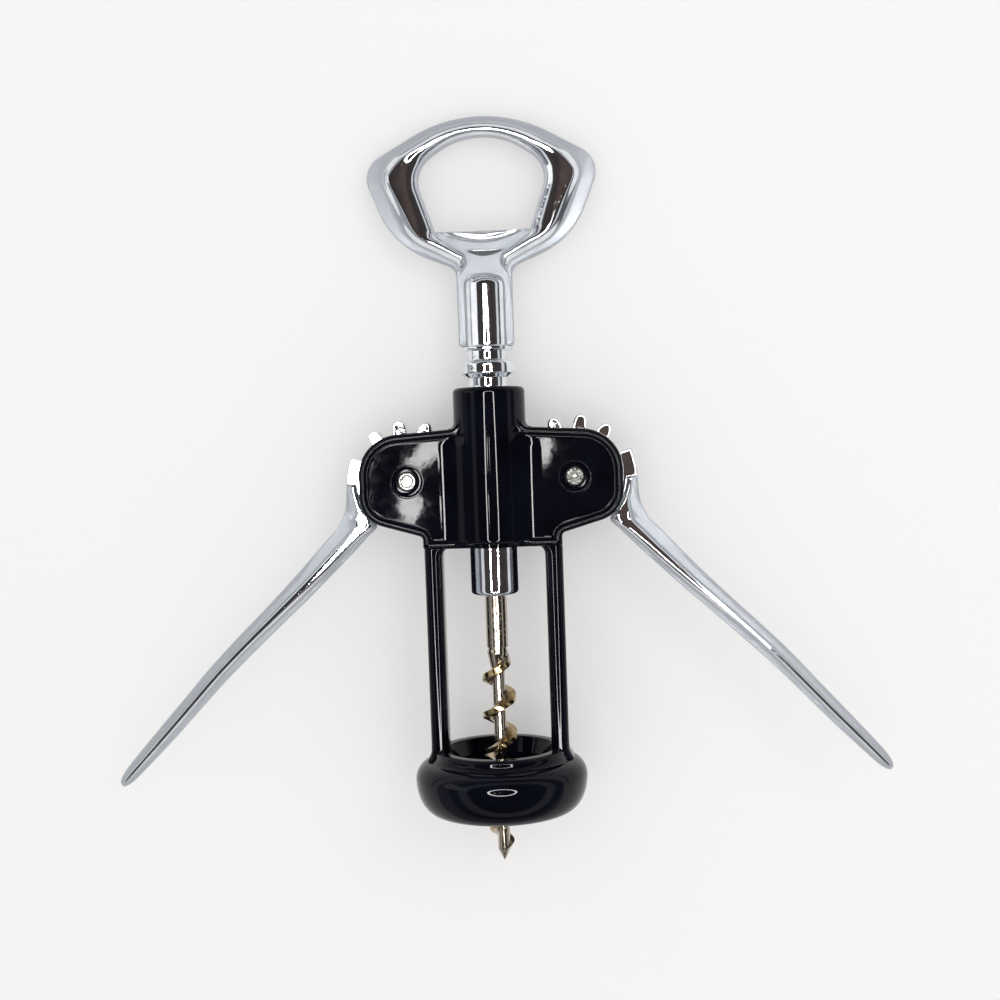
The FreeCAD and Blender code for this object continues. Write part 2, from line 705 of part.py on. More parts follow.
# Raised ridge on both faces, lofted inwards from the flange to the crest.
ridge_base = new_sketch(handle, "ridge_base_outline", lift=S.ring_edge_half - 0.2)
mirrored_outline(ridge_base, ring_half_outline(2.0, S.stem_top),
                 [(0, peak - 1.6, 34)])
ridge_crest = new_sketch(handle, "ridge_crest_outline", lift=S.ring_half)
mirrored_outline(ridge_crest, ring_half_outline(4.2, S.stem_top),
                 [(0, peak - 3.6, 33)])
ridge = handle.newObject("PartDesign::AdditiveLoft", "ridge")
ridge.Profile = ridge_base
ridge.Sections = [ridge_crest]
ridge_back = handle.newObject("PartDesign::Mirrored", "ridge_back")
ridge_back.Originals = [ridge]
ridge_back.MirrorPlane = (origin_plane(handle, "XY_Plane"), [""])
handle.Tip = ridge_back

# Flat web between the ends of the ridge, from the cap lifter down to the stem.
web = new_sketch(handle, "web_outline", lift=S.web_half)
mirrored_outline(web, [
    (5.0, 50.0),
    (5.0, 56.6, 1.5),
    (S.hole_half_width - 3.5, S.lifter_edge + 1),
    (S.hole_half_width - 3.5, S.lifter_edge + 3),
], [])
both_faces(handle, "web", web, S.ring_half)

# Opener hole with a straight cap lifter edge.
opening = new_sketch(handle, "opener_hole_outline")
mirrored_outline(opening, [
    (S.hole_half_width - 3.2, S.lifter_edge, 1.2),
    (S.hole_half_width + 0.6, S.ring_top - 14.0, 8.0),
], [(0, S.hole_top + 3.2, 19)])
slab(handle, "opener_hole", opening, 4 * S.ring_half, kind="Pocket")

# Stem column with its foot lip, and the shaft that turns inside the rack.
column = new_sketch(handle, "column_outline")
shaft_end = S.nose_floor - S.nose_bottom + S.end_gap
outline(column, [
    (0, shaft_end),
    (S.shaft_radius - 0.3, shaft_end),
    (S.shaft_radius, shaft_end + 0.3),
    (S.shaft_radius, stem_foot),
    (S.lip_radius, stem_foot),
    (S.lip_radius, stem_foot + S.lip_height),
    (S.stem_radius, stem_foot + S.lip_height),
    (S.stem_radius, S.stem_top - 1.6),
    (S.stem_radius - 1.6, S.stem_top),
    (0, S.stem_top),
])
turned(handle, "column", column)
socket = new_sketch(handle, "worm_socket_outline")
outline(socket, [
    (0, shaft_end - 1),
    (S.shank_radius, shaft_end - 1),
    (S.shank_radius, shaft_end + S.shank_grip),
    (0, shaft_end + S.shank_grip),
])
turned(handle, "worm_socket", socket, kind="Groove")
doc.recompute()
seat(handle, "opener_handle")

# ---------------------------------------------------------------- worm
# Steel auger: a sharp fin swept along a right-hand helix round a thin core, trimmed to a point by
# a turned envelope, and a plain shank that narrows into the core.
fin_radius = S.fin_radius.value
core_radius = S.core_radius.value
shank_radius = S.shank_radius.value
crest = S.fin_crest.value / 2
flank = (S.fin_root.value / 2 - crest) / (fin_radius - core_radius)
shank_top = (shaft_end + S.shank_grip - S.end_gap).value
auger_top = -S.shank_end.value
auger_end = -S.worm_tip.value
auger_length = auger_top - auger_end
overlap = 0.5


def turned_solid(profile):
    """Solid of revolution about Y from (radius, height) pairs."""
    wire = Part.makePolygon([Vector(r, y, 0) for r, y in profile + profile[:1]])
    return Part.Face(wire).revolve(Vector(0, 0, 0), Vector(0, 1, 0), 360)


def fin_section():
    """Axial section of the fin, a triangle that runs on into the core and past the crest."""
    inner = core_radius / 2
    outer = fin_radius + overlap
    root = crest + flank * (fin_radius - inner)
    edge = max(crest - flank * overlap, crest / 4)
    corners = [(inner, -root), (outer, -edge), (outer, edge), (inner, root)]
    return Part.makePolygon([Vector(r, 0, z) for r, z in corners + corners[:1]])


fin_length = auger_length - 2 * overlap
helix = Part.makeHelix(S.worm_pitch.value, fin_length, fin_radius)
fin = Part.Wire(helix.Edges).makePipeShell([fin_section()], True, True)
fin.rotate(Vector(0, 0, 0), Vector(0, 0, 1), S.worm_phase.value)
fin.rotate(Vector(0, 0, 0), Vector(1, 0, 0), -90)
fin.translate(Vector(0, auger_end + overlap, 0))
down = Vector(0, -1, 0)
blank = Part.makeCylinder(fin_radius, 2 * auger_length, Vector(0, 0, 0), down)
core = Part.makeCylinder(core_radius, 2 * auger_length, Vector(0, 0, 0), down)
envelope = turned_solid([
    (0, auger_end),
    (crest / 2, auger_end),
    (fin_radius * 0.62, auger_end + S.worm_point.value * 0.45),
    (fin_radius + 0.02, auger_end + S.worm_point.value),
    (fin_radius + 0.02, auger_top - S.shank_taper.value * 1.4),
    (shank_radius - 0.3, auger_top + overlap),
    (0, auger_top + overlap),
])
auger = core.fuse(fin.common(blank)).common(envelope)
taper_slope = (shank_radius - core_radius) / S.shank_taper.value
taper_height = S.shank_taper.value * 1.5
shank = turned_solid([
    (0, auger_top - taper_height),
    (shank_radius - taper_slope * taper_height, auger_top - taper_height),
    (shank_radius, auger_top),
    (shank_radius, shank_top - overlap),
    (shank_radius - overlap, shank_top),
    (0, shank_top),
])
worm_shape = auger.fuse(shank)
worm = doc.addObject("Part::Feature", "WormShape")
worm.Shape = worm_shape
seat(worm, "worm")

# ---------------------------------------------------------------- checks and files
pieces = [frame, left_lever, right_lever, left_pin, right_pin, rack, handle, worm]
doc.recompute()
for thing in doc.Objects:
    if "Invalid" in thing.State or "Error" in thing.State:
        raise RuntimeError("%s did not build: %s" % (thing.Name, thing.State))
for piece in pieces:
    shape = piece.Shape
    if shape.isNull() or not shape.isValid() or len(shape.Solids) != 1:
        raise RuntimeError("%s is not one valid solid" % piece.Label)
os.makedirs("parts", exist_ok=True)
for piece in pieces:
    piece.Shape.exportStep("parts/%s.step" % piece.Label)
    print(piece.Label, round(piece.Shape.Volume, 1), "mm3")
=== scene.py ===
import json
import math
import bmesh
import bpy
from mathutils import Matrix, Vector
from mathutils.geometry import delaunay_2d_cdt


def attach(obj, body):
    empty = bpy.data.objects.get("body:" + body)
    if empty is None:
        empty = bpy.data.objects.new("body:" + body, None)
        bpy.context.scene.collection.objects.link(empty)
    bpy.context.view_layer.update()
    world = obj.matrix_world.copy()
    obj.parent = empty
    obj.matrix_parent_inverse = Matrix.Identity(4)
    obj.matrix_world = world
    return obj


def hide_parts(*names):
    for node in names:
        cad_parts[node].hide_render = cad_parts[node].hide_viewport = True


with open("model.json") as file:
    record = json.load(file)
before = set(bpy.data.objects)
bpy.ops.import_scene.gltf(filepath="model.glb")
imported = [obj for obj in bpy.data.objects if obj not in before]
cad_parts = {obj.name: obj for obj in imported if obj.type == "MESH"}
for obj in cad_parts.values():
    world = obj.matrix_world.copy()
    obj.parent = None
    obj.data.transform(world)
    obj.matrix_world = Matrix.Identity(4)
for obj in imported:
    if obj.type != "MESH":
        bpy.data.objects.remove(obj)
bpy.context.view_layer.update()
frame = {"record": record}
joints = {joint["name"]: joint for joint in frame["record"]["behaviour"]["joints"]}

# ------------------------------------------------------------------ frame casting
# One die casting in gloss black enamel: a barrel between two D-shaped ears, a crossbar, two legs
# and the round bell that sits on the bottle. Everything else hangs on it by the two pivot pins.
# Sizes are millimetres from the middle of the line through the two pivots.
PIVOT = 21.15
BARREL = 9.15
BARREL_TOP = 23.1
BORE = 7.3
RIM_LEVEL = 6.2
PANEL_LEVEL = 5.2
FILLET = 13.0
EAR_TOP = 13.4
EAR_TOP_FALL = 0.063
EAR_END = 33.3
WELL_FLAT = 4.4
WELL_DEPTH = 1.1
SLOT = 3.0
SLOT_REACH = 16.8
CROSSBAR_FOOT = -17.3
LEG_INNER = 13.05
LEG_OUTER = 17.55
LEG_HALF = 4.6
LEG_ROUND = 2.0

pivot_line = Vector(joints["right_lever_hinge"]["pos_m"])
pivot_line.x = 0


def cast(name, shells, body, nodes, finish, smooth_below=40, buffed=None):
    """One piece from closed shells of (points in millimetres, faces), standing for CAD nodes.
    buffed(x, y, z) says how far each spot is polished or lacquered, from 0 to 1."""
    mesh = bpy.data.meshes.new(name)
    build = bmesh.new()
    for points, faces in shells:
        part = bmesh.new()
        corners = [part.verts.new(pivot_line + Vector(point) / 1000) for point in points]
        for face in faces:
            part.faces.new([corners[i] for i in face])
        bmesh.ops.remove_doubles(part, verts=part.verts, dist=2e-6)
        bmesh.ops.recalc_face_normals(part, faces=part.faces)
        shell = bpy.data.meshes.new("shell")
        part.to_mesh(shell)
        part.free()
        build.from_mesh(shell)
        bpy.data.meshes.remove(shell)
    build.to_mesh(mesh)
    build.free()
    mesh.shade_smooth()
    mesh.set_sharp_from_angle(angle=math.radians(smooth_below))
    mesh.materials.append(finish)
    if buffed:
        polish = mesh.attributes.new("polish", "FLOAT", "POINT")
        for corner, mark in zip(mesh.vertices, polish.data):
            mark.value = buffed(*((corner.co - pivot_line) * 1000))
    thing = bpy.data.objects.new(name, mesh)
    bpy.context.scene.collection.objects.link(thing)
    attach(thing, body)
    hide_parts(*nodes)
    return thing


def skin(loops, ends=True, round_trip=False):
    """Shell through loops of equal length, one after the other."""
    size = len(loops[0])
    points = [point for loop in loops for point in loop]
    faces = []
    spans = len(loops) if round_trip else len(loops) - 1
    for k in range(spans):
        low = k * size
        high = (k + 1) % len(loops) * size
        for i in range(size):
            j = (i + 1) % size
            faces.append((low + i, low + j, high + j, high + i))
    if ends and not round_trip:
        faces.append(tuple(range(size)))
        faces.append(tuple(range(len(points) - size, len(points))))
    return points, faces


def soft_corners(corners, steps=6, closed=True):
    """Points along the outline through corners (x, y, rounding)."""
    line = []
    count = len(corners)
    for i, (x, y, rounding) in enumerate(corners):
        here = Vector((x, y))
        if rounding == 0 or (not closed and i in (0, count - 1)):
            line.append(here)
            continue
        back = (Vector(corners[i - 1][:2]) - here).normalized()
        ahead = (Vector(corners[(i + 1) % count][:2]) - here).normalized()
        half = back.angle(ahead) / 2
        centre = here + (back + ahead).normalized() * (rounding / math.sin(half))
        first = here + back * (rounding / math.tan(half)) - centre
        last = here + ahead * (rounding / math.tan(half)) - centre
        start = math.atan2(first.y, first.x)
        turn = (math.atan2(last.y, last.x) - start + math.pi) % (2 * math.pi) - math.pi
        for k in range(steps + 1):
            angle = start + turn * k / steps
            line.append(centre + rounding * Vector((math.cos(angle), math.sin(angle))))
    return line


def inset(loop, depth):
    """The same outline moved inwards; it runs anticlockwise."""
    moved = []
    for i, here in enumerate(loop):
        before = (here - loop[i - 1]).normalized()
        after = (loop[(i + 1) % len(loop)] - here).normalized()
        normal = Vector((-before.y - after.y, before.x + after.x)).normalized()
        spread = max(0.5, normal.x * -after.y + normal.y * after.x)
        moved.append(here + normal * (depth / spread))
    return moved


def circle(x, y, radius, steps=56):
    """Round outline about x, y."""
    turns = [2 * math.pi * k / steps for k in range(steps)]
    return [Vector((x + radius * math.cos(a), y + radius * math.sin(a))) for a in turns]


def within(x, y, loop):
    """True inside the outline."""
    inside = False
    for i, b in enumerate(loop):
        a = loop[i - 1]
        if (a.y > y) != (b.y > y) and x < (b.x - a.x) * (y - a.y) / (b.y - a.y) + a.x:
            inside = not inside
    return inside


def filled(outer, holes=(), extra=()):
    """Flat face between an outline and its holes: its points and triangles."""
    points, edges = [], []
    for loop in [outer, *holes]:
        base = len(points)
        points += loop
        edges += [(base + i, base + (i + 1) % len(loop)) for i in range(len(loop))]
    points += [Vector(p) for p in extra]
    spots, _, faces, _, _, _ = delaunay_2d_cdt(points, edges, [], 1, 1e-5)
    kept = []
    for face in faces:
        x = sum(spots[i].x for i in face) / len(face)
        y = sum(spots[i].y for i in face) / len(face)
        if within(x, y, outer) and not any(within(x, y, hole) for hole in holes):
            kept.append(tuple(face))
    return spots, kept


def joined(*shells):
    """Several open surfaces as one shell; cast() welds them where they meet."""
    points, faces = [], []
    for more_points, more_faces in shells:
        base = len(points)
        points += [tuple(point) for point in more_points]
        faces += [tuple(base + i for i in face) for face in more_faces]
    return points, faces


def turned(profile, steps=96, annular=False):
    """Lathe-turned shell about the spindle from (radius, height) points. Long straights get more
    rings near both ends, which keeps their shading even."""
    loops = []
    rows = []
    for i, here in enumerate(profile):
        rows.append(Vector(here))
        ahead = Vector(profile[(i + 1) % len(profile)]) - rows[-1]
        if ahead.length > 1.2 and (annular or i < len(profile) - 1):
            for share in (0.2 / ahead.length, 0.5, 1 - 0.2 / ahead.length):
                rows.append(Vector(here) + ahead * share)
    for radius, height in rows:
        ring = circle(0, 0, max(radius, 0.02), steps)
        loops.append([(spot.x, height, spot.y) for spot in ring])
    return skin(loops, round_trip=annular)


def block(outer, low, high):
    """Plate between two levels."""
    return skin([[(p.x, p.y, z) for p in outer] for z in (low, high)])


# The cast face of the barrel stands a hair outside the barrel above the ears.
BARREL_FACE = BARREL + 0.02


def swell(x):
    """Height of the barrel's round face at x."""
    return math.sqrt(max(0.0, BARREL_FACE ** 2 - x * x))


def flow(x, level, reach):
    """Height at x where the round barrel runs into a level face through a fillet."""
    x = abs(x)
    end = math.sqrt((BARREL_FACE + reach) ** 2 - (level + reach) ** 2)
    if x >= end:
        return level
    if x <= BARREL_FACE * end / (BARREL_FACE + reach):
        return swell(x)
    return level + reach - math.sqrt(reach * reach - (end - x) ** 2)


def ear_top(x):
    """Height of the ears' top edge, which falls a little towards both ends."""
    return EAR_TOP - EAR_TOP_FALL * abs(x)


# Ears, crossbar and the swell of the barrel: one cast face, made twice.
stations = [0.6 * k for k in range(23)]
side_line = soft_corners([
    (stations[-1], CROSSBAR_FOOT, 0),
    (LEG_OUTER, CROSSBAR_FOOT, 0.6),
    (LEG_OUTER, -14.1, 1.2),
    (EAR_END, -9.5, 8.0),
    (EAR_END, 11.3, 10.5),
    (stations[-1], ear_top(stations[-1]), 0),
], steps=14, closed=False)
foot_line = [Vector((x, CROSSBAR_FOOT)) for x in stations[:-1]]
top_line = [Vector((x, ear_top(x))) for x in stations[-2::-1]]
right_half = foot_line + side_line + top_line
left_half = [Vector((-p.x, p.y)) for p in right_half[-2:0:-1]]
ear_outline = right_half + left_half

# depth in from the edge, level of the surface there, and how far the rounded edge drops
EAR_STEPS = (
    (0.0, RIM_LEVEL, 1.15),
    (0.10, RIM_LEVEL, 0.62),
    (0.36, RIM_LEVEL, 0.22),
    (0.85, RIM_LEVEL, 0.0),
    (1.05, RIM_LEVEL, 0.0),
    (1.30, RIM_LEVEL, 0.0),
    (1.52, RIM_LEVEL - 0.12, 0.0),
    (1.74, PANEL_LEVEL + 0.30, 0.0),
    (2.00, PANEL_LEVEL + 0.04, 0.0),
    (2.35, PANEL_LEVEL, 0.0),
    (2.75, PANEL_LEVEL, 0.0),
)


def ear_height(x, y, level, drop=0.0):
    """Front surface of the casting over the ears and the barrel between them. The fillet beside
    the barrel is tight at the top edge, and the surface meets the rim again at the crossbar."""
    below_top = ear_top(x) - y
    height = flow(x, level, 0.4 + FILLET * min(1.0, max(0.0, below_top / 4.0)))
    foot = min(1.0, max(0.0, (y - CROSSBAR_FOOT - 0.85) / 1.0))
    height = RIM_LEVEL + (height - RIM_LEVEL) * math.sin(foot * math.pi / 2) ** 0.7
    beside = min(1.0, max(0.0, (abs(x) - 8.6) / 1.6)) if y > 0 else 1.0
    return height - drop * beside


def inner_height(x):
    """Wall of the slot, and of the bore where the rack runs."""
    return max(SLOT, math.sqrt(max(0.0, BORE * BORE - x * x)))


def ear_face(front):
    """Front (1) or back (-1) half of the ears."""
    loops = [[(p.x, p.y, inner_height(p.x)) for p in ear_outline]]
    for depth, level, drop in EAR_STEPS:
        last = inset(ear_outline, depth)
        loops.append([(p.x, p.y, ear_height(p.x, p.y, level, drop)) for p in last])
    rim = skin(loops, ends=False)
    wells = [circle(side * PIVOT, 0, WELL_FLAT) for side in (1, -1)]
    # points spread over the face, so that its fillets keep their form between the outlines
    lattice = [(side * x, -14.0 + 1.2 * k)
               for x in stations for side in (1, -1) for k in range(21)]
    spots, triangles = filled(last, wells, lattice)
    face = [(p.x, p.y, ear_height(p.x, p.y, PANEL_LEVEL)) for p in spots], triangles
    parts = [rim, face]
    for side in (1, -1):
        steps = ((WELL_FLAT, 0), (3.95, 0), (3.84, -0.03), (3.7, -0.12), (3.63, -0.35),
                 (3.6, -0.95), (3.5, -1.08), (3.2, -WELL_DEPTH), (2.2, -WELL_DEPTH))
        well = [[(p.x, p.y, PANEL_LEVEL + drop) for p in circle(side * PIVOT, 0, r)]
                for r, drop in steps]
        points, faces = skin(well, ends=False)
        size = len(well[0])
        faces.append(tuple(range(len(points) - size, len(points))))
        parts.append((points, faces))
    # inner side: strips for the round wall of the bore, and a flat slot wall on each side of it
    count = len(right_half)
    shallow = [k for k, x in enumerate(stations) if x < BORE + 0.2]
    inner_points = loops[0]
    total = len(ear_outline)
    faces = []
    for k in shallow[:-1]:
        faces.append((k, k + 1, count - 2 - k, count - 1 - k))
        faces.append((-k % total, -(k + 1) % total, (count + k) % total, (count - 1 + k) % total))
    k = shallow[-1]
    faces.append(tuple(range(k, count - k)))
    faces.append(tuple(range(count - 1 + k, total - k + 1)))
    parts.append((inner_points, faces))
    points, faces = joined(*parts)
    return [(x, y, front * z) for x, y, z in points], faces


def arc(x, y, radius, start, finish, steps=12):
    """Part of a circle, in degrees."""
    line = []
    for k in range(steps + 1):
        angle = math.radians(start + (finish - start) * k / steps)
        line.append(Vector((x + radius * math.cos(angle), y + radius * math.sin(angle))))
    return line


frame_shells = [ear_face(1), ear_face(-1)]

# Solid metal that joins the two faces round the lever slots.
slot_turn = math.degrees(math.acos((PIVOT - BORE) / SLOT_REACH))
foot = [Vector((BORE, CROSSBAR_FOOT + 0.02)), Vector((17.5, CROSSBAR_FOOT + 0.02))]
foot += arc(PIVOT, 0, SLOT_REACH, 257.5, 180 + slot_turn)
top = arc(PIVOT, 0, SLOT_REACH, 180 - slot_turn, 129.5) + [Vector((BORE, 12.9))]
for side in (1, -1):
    for loop in (foot, top):
        loop = [Vector((side * p.x, p.y)) for p in loop]
        frame_shells.append(block(loop if side > 0 else loop[::-1], -SLOT - 0.05, SLOT + 0.05))

# Barrel above the ears, rounded at its mouth.
frame_shells.append(turned(soft_corners([
    (BORE, 12.7, 0),
    (BARREL, 12.7, 0),
    (BARREL, BARREL_TOP, 1.25),
    (BORE, BARREL_TOP, 0.55),
], steps=6), annular=True))

# Small fillets where the barrel leaves the top edge of the ears.
for side in (1, -1):
    loops = []
    for x, y in ((BARREL - 1.0, 12.4), (BARREL + 1.5, 12.4), (BARREL + 1.5, 12.78),
                 (BARREL + 0.75, 13.02), (BARREL + 0.25, 13.6), (BARREL, 14.4),
                 (BARREL - 1.0, 14.4)):
        line = []
        for k in range(9):
            z = -4.4 + 8.8 * k / 8
            line.append((side * (x - (BARREL - math.sqrt(BARREL ** 2 - z * z))), y, z))
        loops.append(line)
    rows = [[loop[k] for loop in loops] for k in range(9)]
    frame_shells.append(skin(rows))

# Legs, flared into the crossbar on the inside and into the bell on the outside.
# Each row: height, how far the inner edge moves in there, and how far the outer edge moves out.
LEG_FLARE = ((-15.2, 1.75, 0), (-17.2, 1.55, 0), (-17.6, 0.95, 0), (-18.1, 0.45, 0),
             (-18.8, 0.12, 0), (-19.8, 0, 0), (-30.0, 0, 0), (-43.0, 0, 0), (-56.0, 0, 0),
             (-67.2, 0, 0), (-69.0, 0, 0.05), (-69.9, 0, 0.3), (-70.7, 0, 0.7),
             (-71.4, 0, 1.15), (-72.6, 0, 1.3), (-74.2, 0, 1.3))
for side in (1, -1):
    loops = []
    for y, inward, outward in LEG_FLARE:
        inner = LEG_INNER - inward
        outer = LEG_OUTER + outward
        around = soft_corners([
            (inner, -LEG_HALF, LEG_ROUND),
            (outer, -LEG_HALF, LEG_ROUND),
            (outer, LEG_HALF, LEG_ROUND),
            (inner, LEG_HALF, LEG_ROUND),
        ], steps=8)
        loops.append([(side * p.x, y, p.y) for p in around])
    frame_shells.append(skin(loops))

# Bell: a narrow rim that flows out into the round bulge, and inside it funnel, throat and the
# socket for the bottle's lip. Below its middle the bulge is drawn out longer than above.
BELL = 22.0
BELL_RIM = -69.0
BELL_FOOT = -84.95
RIM_OUTER = 17.0
RIM_INNER = 13.9
THROAT = 12.4
SOCKET = 15.2
SOCKET_TOP = -76.2
RIM_FILLET = 1.8
BULGE_MIDDLE = -76.2
BULGE_ROUND = 4.6
BULGE_SIDE = 5.3

bell_profile = [Vector((THROAT, SOCKET_TOP + 0.2))]
bell_profile += soft_corners([
    (THROAT, -77.0, 0), (THROAT, -73.0, 0.8), (RIM_INNER, BELL_RIM, 0.5),
    (RIM_OUTER, BELL_RIM, 0.95), (RIM_OUTER, -72.2, 0),
], closed=False)[1:-1]
bell_profile += [Vector((RIM_OUTER + RIM_FILLET - RIM_FILLET * math.cos(a),
                         BULGE_MIDDLE + 6.25 - RIM_FILLET * math.sin(a)))
                 for a in [math.radians(7.0 * k) for k in range(12)]]
bell_profile += [Vector((BELL - BULGE_ROUND + BULGE_ROUND * math.cos(a),
                         BULGE_MIDDLE + BULGE_ROUND * math.sin(a)))
                 for a in [math.radians(7.0 * k) for k in range(11, -1, -1)]]
bell_profile += [Vector((BELL - BULGE_SIDE + BULGE_SIDE * math.cos(a),
                         BULGE_MIDDLE - (BULGE_MIDDLE - BELL_FOOT) * math.sin(a)))
                 for a in [math.radians(6 * k) for k in range(1, 16)]]
bell_profile += soft_corners([
    (BELL - BULGE_SIDE, BELL_FOOT, 0), (SOCKET + 0.9, BELL_FOOT, 0.25),
    (SOCKET, BELL_FOOT + 0.9, 0.3), (SOCKET, SOCKET_TOP, 0.4), (THROAT, SOCKET_TOP, 0),
], closed=False)[1:-1] + [Vector((THROAT + 0.4, SOCKET_TOP))]
frame_shells.append(turned(bell_profile, steps=128, annular=True))


def node_maker(material):
    """Returns short ways to add a node and to link two sockets in a material."""
    tree = material.node_tree

    def add(kind, **settings):
        node = tree.nodes.new("ShaderNode" + kind)
        for key, value in settings.items():
            if key in node.inputs:
                node.inputs[key].default_value = value
            else:
                setattr(node, key, value)
        return node

    return add, tree.links.new


def new_finish(name):
    """Empty material with its surface shader."""
    material = bpy.data.materials.new(name)
    material.use_nodes = True
    return material, material.node_tree.nodes["Principled BSDF"]


def speckle(add, link, scale, low, high, detail=3.0):
    """Mottled value between low and high, its grain set by scale per metre."""
    place = add("TexCoord")
    noise = add("TexNoise", Scale=scale, Detail=detail)
    spread = add("MapRange")
    spread.inputs["From Min"].default_value = 0.3
    spread.inputs["From Max"].default_value = 0.7
    spread.inputs["To Min"].default_value = low
    spread.inputs["To Max"].default_value = high
    link(place.outputs["Object"], noise.inputs["Vector"])
    link(noise.outputs[0], spread.inputs["Value"])
    return spread.outputs["Result"]


def two_tone(add, link, dark, light, scale):
    """Colour that wanders between two tones."""
    shade = add("Mix", data_type="RGBA")
    shade.inputs["A"].default_value = dark
    shade.inputs["B"].default_value = light
    link(speckle(add, link, scale, 0.0, 1.0), shade.inputs["Factor"])
    return shade.outputs["Result"]


def relief(add, link, shader, height, strength, distance):
    """Turns a height value into surface relief."""
    bump = add("Bump", Strength=strength, Distance=distance)
    link(height, bump.inputs["Height"])
    link(bump.outputs["Normal"], shader.inputs["Normal"])


# Sprayed and baked enamel: deep black with a faint blue cast, soft ripple, dust-fine specks,
# and metal just starting to show on the sharpest edges.
enamel, shader = new_finish("gloss_black_enamel")
add, link = node_maker(enamel)
shader.inputs["IOR"].default_value = 1.5
shader.inputs["Specular IOR Level"].default_value = 0.16
shade = two_tone(add, link, (0.0012, 0.0014, 0.0030, 1), (0.0035, 0.0042, 0.0090, 1), 90)
edges = add("NewGeometry")
worn = add("MapRange")
worn.inputs["From Min"].default_value = 0.62
worn.inputs["From Max"].default_value = 0.80
link(edges.outputs["Pointiness"], worn.inputs["Value"])
broken = add("Math", operation="MULTIPLY")
link(worn.outputs["Result"], broken.inputs[0])
link(speckle(add, link, 900, 0.0, 0.3), broken.inputs[1])
wear = add("Mix", data_type="RGBA")
wear.inputs["B"].default_value = (0.14, 0.14, 0.15, 1)
link(broken.outputs[0], wear.inputs["Factor"])
link(shade, wear.inputs["A"])
link(wear.outputs["Result"], shader.inputs["Base Color"])
link(speckle(add, link, 400, 0.02, 0.05), shader.inputs["Roughness"])
relief(add, link, shader, speckle(add, link, 240, 0.0, 1.0, 2.0), 0.03, 0.0001)

cast("frame_casting", frame_shells, "frame_body", ["frame"], enamel)

# ------------------------------------------------------------------ pivot pins
# Plain steel pins pressed through both ears. The left one has a bright turned end with a groove
# round it; the right one was staked with a punch, which raised burrs round its end.
PIN = 2.43
PIN_HALF = 4.9

pin_steel, shader = new_finish("bright_pin_steel")
add, link = node_maker(pin_steel)
shader.inputs["Metallic"].default_value = 1.0
shade = two_tone(add, link, (0.34, 0.34, 0.32, 1), (0.62, 0.62, 0.58, 1), 1400)
link(shade, shader.inputs["Base Color"])
link(speckle(add, link, 2500, 0.22, 0.42), shader.inputs["Roughness"])
relief(add, link, shader, speckle(add, link, 3200, 0.0, 1.0), 0.25, 0.0001)


def pin(side, staked):
    """Pin with the same end on both faces of the frame."""
    if staked:
        profile = [(0.3, -0.75), (0.8, -0.55), (1.1, -0.1), (1.45, 0.1), (1.75, -0.2), (2.1, 0.12),
                   (2.35, -0.15), (PIN, -0.4)]
    else:
        profile = [(0.3, 0.05), (1.0, 0.02), (1.4, -0.05), (1.55, -0.25), (1.7, -0.5), (1.95, -0.5),
                   (2.1, -0.55), (2.3, -0.7), (PIN, -0.95)]
    loops = []
    for face in (1, -1):
        for radius, rise in profile if face > 0 else profile[::-1]:
            ring = []
            for k in range(40):
                angle = 2 * math.pi * k / 40
                burr = 0.0
                if staked and radius > 0.9:
                    burr = 0.16 * math.sin(4 * angle + radius)
                    burr += 0.1 * math.sin(7 * angle + 2 * radius)
                spread = radius * (1 + (0.05 * burr if radius < 2.3 else 0))
                ring.append((side * PIVOT + spread * math.cos(angle), spread * math.sin(angle),
                             face * (PIN_HALF + rise + burr)))
            loops.append(ring)
    return skin(loops)


cast("left_pin", [pin(-1, False)], "frame_body", ["left_pivot_pin"], pin_steel)
cast("right_pin", [pin(1, True)], "frame_body", ["right_pivot_pin"], pin_steel)

# ------------------------------------------------------------------ levers
# Two mirrored zinc castings, polished and chromed. A thin gear turns in the slot between the ears,
# and beyond the ear a thick shoulder carries on into the ribbed arm.
GEAR_HALF = 2.8
HUB = 12.0
HUB_BORE = 2.5
BORE_EDGE = 0.3
TEETH = 7
TOOTH_STEP = 27.69
FIRST_TOOTH = 54.63
TOOTH_ROOT_HALF = 2.0
TOOTH_HALF = 1.72
TOOTH_STRAIGHT = 13.8
TOOTH_TIP = 1.92
TOOTH_BEVEL = 0.75
ARM_RIB = 3.3

# Chrome over cast zinc: bright, faintly blue, with the pits and dull specks of a thin plating.
chrome, shader = new_finish("polished_chrome")
add, link = node_maker(chrome)
shade = two_tone(add, link, (0.70, 0.72, 0.76, 1), (0.86, 0.88, 0.91, 1), 260)
pits = add("TexVoronoi", Scale=2600.0)
place = add("TexCoord")
link(place.outputs["Object"], pits.inputs["Vector"])
pit = add("MapRange")
pit.inputs["From Max"].default_value = 0.16
pit.inputs["To Min"].default_value = 1.0
pit.inputs["To Max"].default_value = 0.0
link(pits.outputs["Distance"], pit.inputs["Value"])
patchy = add("Math", operation="MULTIPLY")
link(pit.outputs["Result"], patchy.inputs[0])
link(speckle(add, link, 320, -0.6, 0.8), patchy.inputs[1])
patchy.use_clamp = True
dull = add("Mix", data_type="RGBA")
dull.inputs["B"].default_value = (0.30, 0.29, 0.29, 1)
link(patchy.outputs[0], dull.inputs["Factor"])
link(shade, dull.inputs["A"])
polish = add("Attribute", attribute_name="polish")
satin = add("Mix", data_type="RGBA")
satin.inputs["A"].default_value = (0.45, 0.475, 0.51, 1)
link(polish.outputs["Fac"], satin.inputs["Factor"])
link(dull.outputs["Result"], satin.inputs["B"])
link(satin.outputs["Result"], shader.inputs["Base Color"])
plated = add("MapRange")
plated.inputs["To Min"].default_value = 0.12
link(polish.outputs["Fac"], plated.inputs["Value"])
